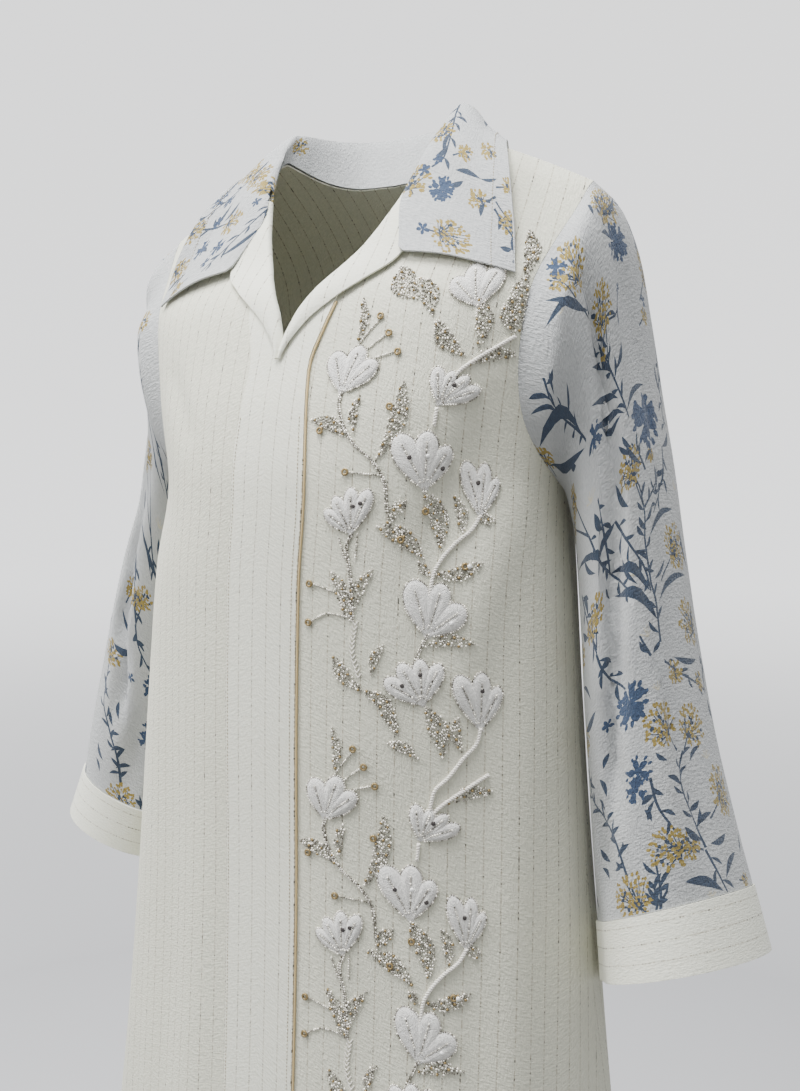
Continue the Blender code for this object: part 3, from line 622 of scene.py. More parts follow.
def lapelPiece(name, side):
    rows = np.linspace(lapel["widths"][0][0], lapel["widths"][-1][0], lapel["rows"])
    ends = through(panelEnds(-1), rows)
    width = through(lapel["widths"], rows)[:, 0]
    top = lapel["lift"] + body["bandWall"]
    middle, radius = (top + lapel["under"]) / 2, (top - lapel["under"]) / 2
    # across: the inside strip, the roll over the edge, then the part that lies flat
    strip = [(lapel["inside"], lapel["under"]), (lapel["inside"] / 2, lapel["under"])]
    turn = [math.radians(-90 + 180 * k / lapel["rollSteps"]) for k in range(lapel["rollSteps"])]
    strip += [(-radius * lapel["rollFlat"] * math.cos(a), middle + radius * math.sin(a)) for a in turn]
    points, uvs = [], []
    for row, w in zip(ends, width):
        flatT = np.linspace(0, 1, lapel["columns"] + 1)
        x = np.concatenate([[row[0] + s[0] for s in strip], row[0] + w * flatT])
        rise = top + lapel["crown"] * np.sin(np.pi * flatT)
        lift = np.concatenate([[s[1] for s in strip], rise])
        z = row[1] + (row[4] - row[1]) * (x - row[0]) / (row[3] - row[0])
        x = x * side
        points.append(bodyAt(x, z, -1) + bodyNormal(x, z, -1) * lift[:, None])
        uvs.append(np.stack([x * side, z], -1))
    return gridPiece(name, np.array(points), np.array(uvs), bandCrepe, flip=side < 0)


lapelLeft = tidyShell(lapelPiece("lapelLeftCloth", 1), body["bandWall"])
lapelRight = tidyShell(lapelPiece("lapelRightCloth", -1), body["bandWall"])
print("placket, piping and lapels made")

# Sleeves and cuffs
sleeve = {
    # outer x and z, gap to the body, inner z, half depth, shift in y, rise of the front
    "rings": (
        (0.201, -0.060, 0.0025, -0.266, 0.070, 0.008, 0.000),
        (0.211, -0.088, 0.0035, -0.276, 0.071, 0.017, 0.002),
        (0.2175, -0.130, 0.0022, -0.292, 0.069, 0.026, 0.006),
        (0.2245, -0.180, 0.0022, -0.315, 0.069, 0.032, 0.009),
        (0.235, -0.238, 0.0022, -0.347, 0.070, 0.034, 0.012),
        (0.2475, -0.298, 0.0022, -0.388, 0.072, 0.034, 0.015),
        (0.262, -0.362, 0.0022, -0.435, 0.075, 0.032, 0.017),
        (0.278, -0.428, 0.0022, -0.487, 0.074, 0.030, 0.018),
        (0.296, -0.490, 0.0020, -0.540, 0.073, 0.028, 0.018),
        (0.311, -0.539, 0.0020, -0.586, 0.072, 0.026, 0.018),
    ),
    "cuffBottom": (0.325, -0.582, 0.0045, -0.627, 0.075, 0.022, 0.019),
    # ring number, angle round from the outer side to the front, depth
    "crease": (
        (0, 0.86, 0.000),
        (1, 1.02, 0.007),
        (3, 1.10, 0.010),
        (5, 1.18, 0.011),
        (7, 1.50, 0.011),
        (8, 1.70, 0.009),
        (9, 2.10, 0.006),
        (10, 2.50, 0.002),
    ),
    "creaseHalf": 0.30,
    "smallFade": 0.8,
    # smaller creases: ring and angle of both ends, half width in radians, depth (minus stands out)
    "small": (
        (0.6, 0.30, 4.6, 0.55, 0.13, 0.0026),
        (1.2, 0.62, 5.5, 0.84, 0.10, -0.0020),
        (3.0, 1.62, 8.6, 1.32, 0.14, 0.0030),
        (5.0, 0.35, 9.6, 0.62, 0.16, 0.0026),
        (6.2, 0.86, 9.8, 1.02, 0.12, -0.0022),
        (1.0, -0.55, 6.5, -0.90, 0.18, 0.0040),
        (3.5, -1.50, 9.5, -1.25, 0.20, 0.0040),
        (6.5, -0.30, 9.8, -0.20, 0.13, 0.0022),
        (0.6, 0.90, 5.6, 1.24, 0.055, 0.0050),
        (5.4, 1.22, 8.8, 1.90, 0.055, 0.0050),
        (2.0, 0.40, 7.0, 0.20, 0.06, 0.0022),
        (5.5, 0.92, 9.8, 0.62, 0.05, 0.0028),
    ),
    "around": 144,
    "down": 84,
    "cuffRows": 13,
}


def ringAt(row, angle, ring):
    outerX, outerZ, gap, innerZ, depth, shift, rise = row
    innerX = through(body["sections"], innerZ)[0] + gap
    creaseAngle, creaseDepth = through(sleeve["crease"], ring)
    away = np.abs(angle - creaseAngle) / sleeve["creaseHalf"]
    inward = np.where(away < 1, creaseDepth * np.cos(np.minimum(away, 1) * np.pi / 2) ** 2, 0)
    middle = np.array([(outerX + innerX) / 2, shift, (outerZ + innerZ) / 2])
    across = np.array([(outerX - innerX) / 2, 0, (outerZ - innerZ) / 2])
    arm = across * np.cos(angle)[:, None] + np.array([0, -depth, rise]) * np.sin(angle)[:, None]
    return middle + arm * (1 - inward / np.linalg.norm(arm, axis=1))[:, None]


def armholeAt(angle):
    # points of the panels' outer edges at each angle round the sleeve
    front, back = frontPoints[:, -1], backPoints[:, -1]
    high, low = panels["frontRows"][0][4], panels["frontRows"][-1][4]
    front, back = (edge[edge[:, 2] >= low - 1e-6] for edge in (front, back))
    z = (high + low) / 2 + (high - low) / 2 * np.cos(angle)
    sides = []
    for edge in (front[::-1], back[::-1]):
        sides.append(np.stack([np.interp(z, edge[:, 2], edge[:, k]) for k in range(3)], -1))
    ring = np.where((np.sin(angle) >= 0)[:, None], sides[0], sides[1])
    ends = np.abs(np.sin(angle)) < 1e-6
    ring[ends, 1] = (sides[0][ends, 1] + sides[1][ends, 1]) / 2
    return ring


def addLean(points):
    shifted = points.copy()
    shifted[..., 0] += through(body["sections"], points[..., 2])[..., 3]
    return shifted


def sleeveGrid():
    # dense grid of the left sleeve: rings down, and angles round from the underarm by the back
    angle = np.linspace(-np.pi, np.pi, sleeve["around"] + 1)
    rings = [addLean(ringAt(row, angle, n)) for n, row in enumerate(sleeve["rings"], start=1)]
    edge = armholeAt(angle)
    first = edge + unit(rings[0] - edge) * body["seamGap"]
    table = [(n, *ring.ravel()) for n, ring in enumerate([first] + rings)]
    at = np.linspace(0, len(rings), sleeve["down"] + 1)
    points = through(table, at).reshape(len(at), len(angle), 3)
    down = np.gradient(points, axis=0)
    across = np.gradient(points, axis=1)
    normal = unit(np.cross(across, down))
    outward = points - points.mean(axis=1, keepdims=True)
    normal *= np.sign((normal * outward).sum(-1).mean())
    depth = np.zeros(points.shape[:2])
    for r0, a0, r1, a1, half, deep in sleeve["small"]:
        t = np.clip((at[:, None] - r0) / (r1 - r0), 0, 1)
        middle = a0 + (a1 - a0) * t
        fade = np.sin(np.pi * t) ** sleeve["smallFade"]
        depth += deep * fade * np.exp(-(((angle[None, :] - middle) / half) ** 2))
    return points - normal * depth[..., None]


def sleeveUv(points):
    around = lengthsAlong(points, 1)
    mean = around[:, -1].mean()
    u = np.linspace(-0.5, 0.5, points.shape[1])[None, :] * mean * np.ones((points.shape[0], 1))
    v = -lengthsAlong(points, 0).mean(axis=1)[:, None] * np.ones((1, points.shape[1]))
    return np.stack([u, v], -1)


# Printed linen: pale grey-blue ground with slate, flower blue, mustard and faint mustard dyes, all matt; each
# dye's second colour is painted shade in the weave's hollows and broad patches of random tone
linen = {
    "ground": ("#BCBDBC", "#9EA1A3"),
    "slate": ("#192433", "#33445A"),
    "flower": ("#1A2A44", "#334966"),
    "mustard": ("#7B6722", "#9A884A"),
    "faint": ("#B3A77F", "#BCBDBC"),
}
linenDyes = []
for dye, shades in linen.items():
    linenDyes.append(crepeMaterial("linen" + dye.capitalize(), *shades, stripes=0, relief=1.1))
dyeNumber = {dye: number for number, dye in enumerate(linen)}

# One repeat of the print, charted in millimetres from the middle of the sleeve's outside
sprigs = {
    # centre, radius, foot of the stalk
    "umbels": (
        (20, -20, 13, 26, -33), (75, -19, 14, 75, -46), (63, -59, 12, 74, -75), (-20, -54, 11, 6, -73),
        (179, -6, 8, 194, -14), (157, -102, 8, 129, -158), (169, -115, 8, 129, -158),
        (63, -155, 11, 51, -183), (9, -212, 14, 38, -232), (5, -259, 14, -18, -273),
        (124, -217, 8, 128, -242), (135, -225, 7, 128, -244), (165, -230, 8, 167, -246),
        (37, -289, 7, 21, -293), (4, -296, 6, 8, -302), (67, -316, 12, 52, -336), (30, -323, 12, 45, -337),
        (171, -295, 9, 173, -311), (8, -366, 15, 34, -382), (82, -393, 12, 54, -400),
        (63, -394, 8, 49, -400), (122, -417, 13, 111, -430), (6, -426, 5, 17, -424), (1, -80, 5, 15, -86),
        (31, -156, 4, 27, -160), (72, -79, 4, 70, -85), (88, -14, 6, 85, -31), (-18, -46, 6, -16, -43),
    ),
    "flowers": (
        (23, -42, 12), (36, -63, 4), (29, -136, 18), (100, -110, 8), (95, -296, 13), (97, -339, 9),
        (102, -350, 8), (128, -298, 5), (81, -10, 7), (-2, -72, 5),
    ),
    # tip, base, width
    "leaves": (
        (39, -13, 40, -23, 3.4), (41, -32, 28, -40, 3.4), (99, -10, 75, -46, 4.0), (111, -13, 77, -50, 4.0),
        (89, -72, 63, -100, 4.0), (49, -87, 61, -98, 4.1), (98, -92, 63, -113, 4.0),
        (92, -109, 63, -123, 4.1), (57, -124, 20, -117, 4.1), (119, -47, 131, -61, 4.0),
        (145, -6, 142, -18, 3.4), (129, -19, 137, -27, 2.7), (153, -6, 142, -37, 2.7),
        (172, -6, 116, -96, 6.2), (186, -8, 117, -102, 5.6), (113, -113, 105, -109, 4.1),
        (164, -139, 165, -160, 3.5), (90, -172, 111, -189, 4.1), (164, -159, 101, -203, 3.5),
        (168, -118, 165, -165, 4.2), (99, -219, 51, -254, 6.2), (96, -203, 56, -235, 5.5),
        (-2, -229, 46, -244, 4.4), (5, -189, 49, -203, 4.3), (59, -187, 51, -198, 3.4),
        (64, -141, 46, -158, 3.4), (34, -280, 2, -282, 4.1), (125, -259, 114, -258, 4.1),
        (-28, -318, -24, -305, 4.4), (99, -361, 85, -357, 4.0), (140, -282, 171, -286, 5.5),
        (131, -316, 139, -325, 3.4), (175, -318, 157, -334, 3.5), (64, -382, 47, -394, 4.7),
        (20, -393, 41, -397, 4.1), (74, -416, 40, -428, 6.0), (12, -406, 34, -421, 4.2),
        (117, -382, 132, -389, 3.4), (164, -378, 150, -390, 3.5), (126, -368, 141, -376, 3.4),
        (188, -410, 184, -421, 3.6), (95, -414, 102, -426, 3.3), (146, -330, 139, -345, 3.6),
        (-14, -140, 8, -152, 4.0), (-18, -396, 2, -408, 4.2), (81, -61, 70, -79, 3.4),
        (103, -107, 59, -124, 4.7), (66, -134, 58, -145, 2.7), (72, -135, 56, -150, 2.7),
        (45, -146, 46, -153, 2.7), (28, -153, 41, -159, 2.8), (18, -168, 26, -174, 2.1),
        (13, -174, 27, -178, 2.1), (36, -169, 31, -178, 2.1), (104, -409, 99, -416, 2.7),
        (88, -414, 97, -417, 2.7), (90, -424, 99, -426, 2.7), (106, -423, 100, -427, 2.7),
        (27, -12, 27, -22, 2.7), (5, -21, 22, -26, 2.8), (-11, -29, -14, -37, 3.6),
        (-15, -38, -16, -43, 3.6), (142, -165, 121, -192, 2.8), (85, -201, 69, -227, 2.7),
        (29, -220, 49, -229, 2.8), (106, -211, 101, -220, 2.7), (75, -261, 68, -271, 2.7),
        (51, -266, 63, -273, 2.7), (-20, -277, -29, -284, 2.9), (-30, -284, -31, -291, 3.0),
        (77, -332, 68, -339, 2.7), (26, -336, 41, -345, 2.8), (71, -348, 58, -357, 3.3),
        (41, -369, 56, -374, 3.4), (31, -378, 49, -385, 3.4), (97, -364, 92, -373, 2.7),
        (153, -343, 145, -354, 2.8), (133, -357, 145, -362, 2.7), (126, -392, 139, -397, 2.7),
        (163, -392, 153, -402, 2.8), (169, -252, 147, -271, 2.8), (124, -258, 130, -263, 2.7),
        (118, -150, 104, -172, 5.0), (126, -176, 112, -186, 4.0), (84, -150, 70, -176, 4.2),
        (-4, -200, -14, -224, 4.4), (-8, -248, -2, -266, 4.0), (150, -190, 140, -212, 4.6),
        (158, -214, 143, -226, 4.2), (-30, -96, -14, -112, 4.6), (-6, -104, -12, -120, 4.0),
        (146, -78, 136, -94, 4.4),
    ),
    "stems": (
        ((113, -101), (139, -41), (142, -22), (133, -15)), ((55, -128), (63, -103), (67, -89), (63, -72)),
        ((51, -268), (50, -244), (54, -229), (55, -204), (51, -187), (53, -171), (57, -165)),
        ((50, -184), (27, -172), (21, -165)), ((90, -172), (73, -200), (59, -219), (55, -235)),
        ((50, -280), (19, -295), (-20, -305)), ((46, -399), (52, -378), (58, -357), (47, -337)),
        ((47, -400), (36, -430)), ((124, -403), (133, -376), (148, -359), (168, -337), (173, -311)),
        ((98, -430), (95, -414), (95, -397)), ((129, -158), (115, -186), (99, -204), (70, -237)),
        ((-20, -302), (-24, -285), (-18, -273)), ((86, -346), (85, -361), (74, -382)),
        ((129, -246), (123, -261), (102, -282)), ((75, -46), (74, -68), (67, -89)),
        ((8, -152), (14, -170), (38, -190)), ((33, -31), (28, -23), (25, -16)),
        ((33, -31), (15, -26), (0, -19)), ((-10, -29), (-14, -37), (-16, -44)),
        ((39, -65), (51, -72), (62, -69)), ((102, -430), (99, -423), (101, -412)),
        ((100, -426), (91, -420), (88, -414)), ((42, -163), (47, -153), (57, -143)),
        ((31, -178), (23, -171), (17, -166)), ((66, -273), (71, -264), (74, -258)),
        ((-24, -90), (-14, -112), (-6, -140)), ((154, -186), (142, -216), (128, -246)),
        ((110, -146), (103, -176), (100, -204)),
    ),
    "ghosts": (
        (98, -24, 7), (65, -261, 8), (64, -295, 6), (72, -220, 7), (52, -430, 5), (120, -140, 8),
        (-10, -175, 7), (20, -345, 7),
    ),
}
# The same for the collar: along it, from the right front round to the left, and across from the stand out
collarSprigs = {
    "umbels": (
        (598, 32, 12, 610, 40), (631, 70, 13, 629, 52), (548, 88, 7, 550, 98), (595, 84, 7, 594, 94),
        (606, 108, 8, 592, 98), (636, 132, 10, 626, 118), (616, 138, 8, 626, 122), (552, 36, 10, 531, 40),
        (575, 112, 8, 580, 98), (562, 66, 6, 570, 56), (62, 22, 8, 46, 18), (157, 19, 7, 150, 10),
        (6, 92, 5, 10, 83), (59, 36, 5, 51, 30), (6, 130, 5, 8, 121), (110, 70, 10, 120, 88),
        (205, 60, 10, 215, 80), (290, 85, 11, 300, 105), (355, 62, 10, 345, 84), (430, 92, 11, 420, 112),
        (480, 55, 9, 490, 74), (250, 130, 8, 262, 120), (42, 60, 9, 50, 74), (78, 46, 10, 84, 62),
        (28, 104, 9, 36, 118), (64, 104, 9, 72, 116), (94, 60, 7, 99, 72), (40, 134, 6, 44, 124),
    ),
    "flowers": (
        (589, 40, 6), (599, 58, 10), (629, 50, 6), (578, 46, 5), (560, 128, 6), (22, 63, 7), (14, 69, 5),
        (150, 92, 9), (322, 120, 8), (400, 60, 9), (500, 110, 9), (36, 86, 8), (58, 80, 6), (92, 96, 8),
        (78, 78, 6), (48, 40, 5),
    ),
    "leaves": (
        (580, 62, 577, 85, 4.0), (572, 99, 577, 84, 2.6), (550, 45, 574, 50, 3.3), (576, 43, 564, 48, 2.6),
        (585, 71, 595, 60, 4.0), (609, 88, 595, 90, 3.3), (627, 101, 625, 109, 4.0),
        (636, 109, 632, 112, 3.3), (630, 134, 623, 120, 2.6), (533, 57, 531, 39, 2.6),
        (23, 28, 12, 53, 4.8), (12, 108, 18, 97, 4.0), (19, 92, 9, 101, 3.2), (33, 34, 48, 20, 3.2),
        (95, 95, 118, 88, 4.2), (130, 110, 118, 92, 4.0), (190, 100, 214, 84, 4.4), (235, 95, 216, 84, 4.2),
        (275, 120, 299, 108, 4.2), (325, 90, 344, 86, 4.0), (440, 130, 421, 114, 4.4),
        (395, 110, 419, 112, 4.4), (470, 95, 489, 78, 4.0), (512, 80, 492, 76, 4.0), (62, 58, 52, 72, 4.0),
        (70, 70, 56, 84, 4.0), (98, 44, 86, 60, 4.0), (48, 110, 38, 122, 4.0), (84, 108, 73, 120, 4.0),
        (26, 76, 36, 92, 3.6),
    ),
    "stems": (
        ((505, 35), (524, 38), (550, 45), (574, 50), (585, 44)), ((588, 98), (592, 94), (595, 88)),
        ((598, 97), (613, 107), (620, 114), (632, 119)), ((620, 114), (630, 130)),
        ((52, 20), (33, 34), (15, 54), (7, 66)), ((120, 88), (118, 110), (126, 134)),
        ((215, 80), (214, 110), (205, 138)), ((300, 105), (298, 122), (306, 142)),
        ((50, 74), (58, 90), (72, 116), (74, 138)), ((84, 62), (82, 84), (72, 116)),
        ((345, 84), (343, 108), (338, 132)), ((420, 112), (422, 130), (414, 144)),
        ((490, 74), (492, 96), (486, 118)),
    ),
    "ghosts": ((70, 110, 7), (170, 130, 7), (260, 60, 7), (375, 135, 7), (455, 60, 7), (540, 125, 7)),
}


# Sizes of the print's shapes, in millimetres or as shares of a flower's radius
printing = {
    "leafBend": (0.11, -0.10),
    "leafPoints": 7,
    "leafFullness": 1.2,
    "stalk": 1.7,
    "twig": 0.9,
    "ghostTwig": 1.2,
    "stem": 2.2,
    "stemTaper": 0.35,
    "stemLeafSpacing": 8.5,
    "stemLeafLength": (9, 15),
    "stemLeafWidth": (2.6, 3.4),
    "umbelSpread": 1.22,
    "umbelHead": (1.0, 1.55),
    "umbelDensity": 0.34,
    "goldenTurn": 2.399963,  # golden angle, which spaces the heads evenly
    "petalReach": (0.52, 0.66),
    "petalSize": (0.24, 0.31),
    "tornReach": (0.88, 1.02),
    "ragged": 0.16,
    # of the cut cloth, in metres: cells, distance from the edge, reach past it, step that reads the stretch
    "cell": 0.006,
    "collarCell": 0.0045,
    "margin": 0.0008,
    "past": 0.02,
    "inset": 0.004,
    "probe": 0.003,
    "stretch": (0.35, 2.0),
}


def heading(turn):
    return np.array([math.cos(turn), math.sin(turn)])


def leafShape(tip, base, width, count=9):
    # bent leaf, pointed at the tip
    tip, base = np.array(tip, float), np.array(base, float)
    along = tip - base
    aside = np.array([-along[1], along[0]])
    bend = printing["leafBend"][0 if (tip[0] + tip[1]) % 2 < 1 else 1]
    t = np.linspace(0, 1, count)
    middle = base + t[:, None] * along + (bend * np.sin(np.pi * t))[:, None] * aside
    half = (0.5 * width * np.sin(np.pi * t**1.1) ** 0.9 / np.linalg.norm(along))[:, None] * aside
    return np.concatenate([middle + half, (middle - half)[-2:0:-1]])


def readPath(path, at):
    # points at distances along a smooth path through charted points
    runs = lengthsAlong(np.array(path, float), 0)
    return through([(run, *spot) for run, spot in zip(runs, path)], at)


def ribbonShape(path, width):
    length = lengthsAlong(np.array(path, float), 0)[-1]
    count = max(3, int(length / 5) + 1)
    middle = readPath(path, np.linspace(0, length, count))
    way = unit(np.gradient(middle, axis=0))
    taper = (1 - printing["stemTaper"] * np.linspace(0, 1, count))[:, None]
    half = 0.5 * width * taper * np.stack([-way[:, 1], way[:, 0]], -1)
    return np.concatenate([middle + half, (middle - half)[::-1]])


def blobShape(center, radius, sides, chance, stretch=1.0, turn=0.0):
    angle = np.linspace(0, 2 * np.pi, sides + 1)[:-1] + chance.random()
    ragged = printing["ragged"]
    reach = radius * np.array([1 + chance.uniform(-ragged, ragged) for _ in angle])
    x, y = reach * np.cos(angle) * stretch, reach * np.sin(angle)
    c, s = math.cos(turn), math.sin(turn)
    return center + np.stack([x * c - y * s, x * s + y * c], -1)


def flowerShapes(radius, chance):
    # ragged flower: round petals about a middle, each with two torn tips where there is room
    petals = 7 if radius > 9 else 5
    shapes = [blobShape((0, 0), radius * 0.30, 8, chance)]
    for k in range(petals):
        turn = 2 * math.pi * (k + chance.uniform(-0.2, 0.2)) / petals
        spot = radius * chance.uniform(*printing["petalReach"]) * heading(turn)
        shapes.append(blobShape(spot, radius * chance.uniform(*printing["petalSize"]), 9, chance, 1.45, turn))
        if radius > 6:
            for side in (-0.16, 0.16):
                way = turn + side * chance.uniform(1.2, 2.2)
                outer = radius * chance.uniform(*printing["tornReach"]) * heading(way)
                shapes.append(blobShape(outer, radius * 0.13, 6, chance, 1.5, way))
    return shapes


def umbelShapes(radius, foot, chance):
    # mustard dots and a few slate buds on fine stalks that fan out from a hub
    hub = foot * min(0.85, 0.75 * radius / max(np.linalg.norm(foot), 1.0))
    radius *= printing["umbelSpread"]
    stalks = [("slate", ribbonShape([foot, (foot + hub) / 2, hub], printing["stalk"]))]
    heads = []
    count = int(12 + radius * radius * printing["umbelDensity"])
    for k in range(count):
        reach = radius * math.sqrt((k + 0.6) / count)
        turn = printing["goldenTurn"] * k + chance.uniform(-0.3, 0.3)
        spot = reach * heading(turn)
        dye = "slate" if k % 5 == 1 and reach < 0.75 * radius else "mustard"
        heads.append((dye, blobShape(spot, chance.uniform(*printing["umbelHead"]), 5, chance, 1.25, turn)))
        if k % 3 == 0 and k > 2:
            bent = (hub + spot) / 2 + np.array([0.4, -0.4])
            stalks.append(("slate", ribbonShape([hub, bent, spot], printing["twig"])))
    return stalks + heads


def stemLeaves(path, chance):
    # small leaves by turns on the two sides of a stem
    length = lengthsAlong(np.array(path, float), 0)[-1]
    at = np.arange(6.0, length - 3.0, printing["stemLeafSpacing"])
    if len(at) < 2:
        return []
    spots = readPath(path, at)
    leaves = []
    for k, (spot, way) in enumerate(zip(spots, unit(np.gradient(spots, axis=0)))):
        aside = np.array([-way[1], way[0]]) * (1 if k % 2 else -1)
        tip = spot + chance.uniform(*printing["stemLeafLength"]) * (0.78 * way + 0.62 * aside)
        leaves.append(leafShape(tip, spot, chance.uniform(*printing["stemLeafWidth"]), 6))
    return leaves


def sprigShapes(chart, place, chance):
    # every shape of a chart in millimetres, drawn true on the cloth's own surface
    shapes = []
    for x, y, radius in chart["ghosts"]:
        for k in range(5):
            turn = math.radians(-60 + 30 * k + chance.uniform(-8, 8))
            end = (x + radius * math.sin(turn), y + radius * math.cos(turn))
            twig = [(x, y), ((x + end[0]) / 2 + 0.5, (y + end[1]) / 2), end]
            shapes.append(("ghost", (x, y), ribbonShape(twig, printing["ghostTwig"])))
    shapes += [("stem", path[len(path) // 2], path) for path in chart["stems"]]
    shapes += [("umbel", (x, y), (radius, foot)) for x, y, radius, *foot in chart["umbels"]]
    for tipX, tipY, *base, width in chart["leaves"]:
        middle = ((tipX + base[0]) / 2, (tipY + base[1]) / 2)
        shapes.append(("leaf", middle, ((tipX, tipY), base, width * printing["leafFullness"])))
    shapes += [("flower", (x, y), radius) for x, y, radius in chart["flowers"]]
    result = []
    for kind, spot, shape in shapes:
        center, scale = place(spot)
        if center is None:
            continue

        def near(point):
            return (np.array(place(point, True)) - center) * scale

        if kind == "umbel":
            drawn = umbelShapes(shape[0], near(shape[1]), chance)
        elif kind == "flower":
            drawn = [("flower", petal) for petal in flowerShapes(shape, chance)]
        elif kind == "leaf":
            drawn = [("slate", leafShape(near(shape[0]), near(shape[1]), shape[2], printing["leafPoints"]))]
        elif kind == "stem":
            stem = [near(point) for point in shape]
            drawn = [("slate", ribbonShape(stem, printing["stem"]))]
            drawn += [("slate", leaf) for leaf in stemLeaves(stem, chance)]
        else:
            drawn = [("faint", shape - np.array(spot))]
        result += [(dye, center + outline / scale) for dye, outline in drawn]
    return result


def sampleGrid(grid, rows, columns):
    # bilinear reading of a grid at fractional rows and columns
    rows = np.clip(rows, 0, grid.shape[0] - 1.000001)
    columns = np.clip(columns, 0, grid.shape[1] - 1.000001)
    i, j = rows.astype(int), columns.astype(int)
    a, b = (rows - i)[:, None], (columns - j)[:, None]
    top = grid[i, j] * (1 - b) + grid[i, j + 1] * b
    return top * (1 - a) + (grid[i + 1, j] * (1 - b) + grid[i + 1, j + 1] * b) * a


def dyeOfTriangles(middles, shapes):
    # number of the last shape's dye over each middle point, 0 for the bare ground
    order = np.argsort(middles[:, 1])
    heights = middles[order, 1]
    dye = np.zeros(len(middles), int)
    for number, outline in shapes:
        first, last = np.searchsorted(heights, (outline[:, 1].min(), outline[:, 1].max()))
        near = order[first:last]
        near = near[(middles[near, 0] > outline[:, 0].min()) & (middles[near, 0] < outline[:, 0].max())]
        x, y = middles[near, 0][:, None], middles[near, 1][:, None]
        after = np.roll(outline, -1, axis=0)
        crosses = (outline[:, 1] > y) != (after[:, 1] > y)
        rise = np.where(np.abs(after[:, 1] - outline[:, 1]) < 1e-12, 1e-12, after[:, 1] - outline[:, 1])
        left = x < outline[:, 0] + (y - outline[:, 1]) * (after[:, 0] - outline[:, 0]) / rise
        inside = (crosses & left).sum(axis=1) % 2 == 1
        dye[near[inside]] = number
    return dye


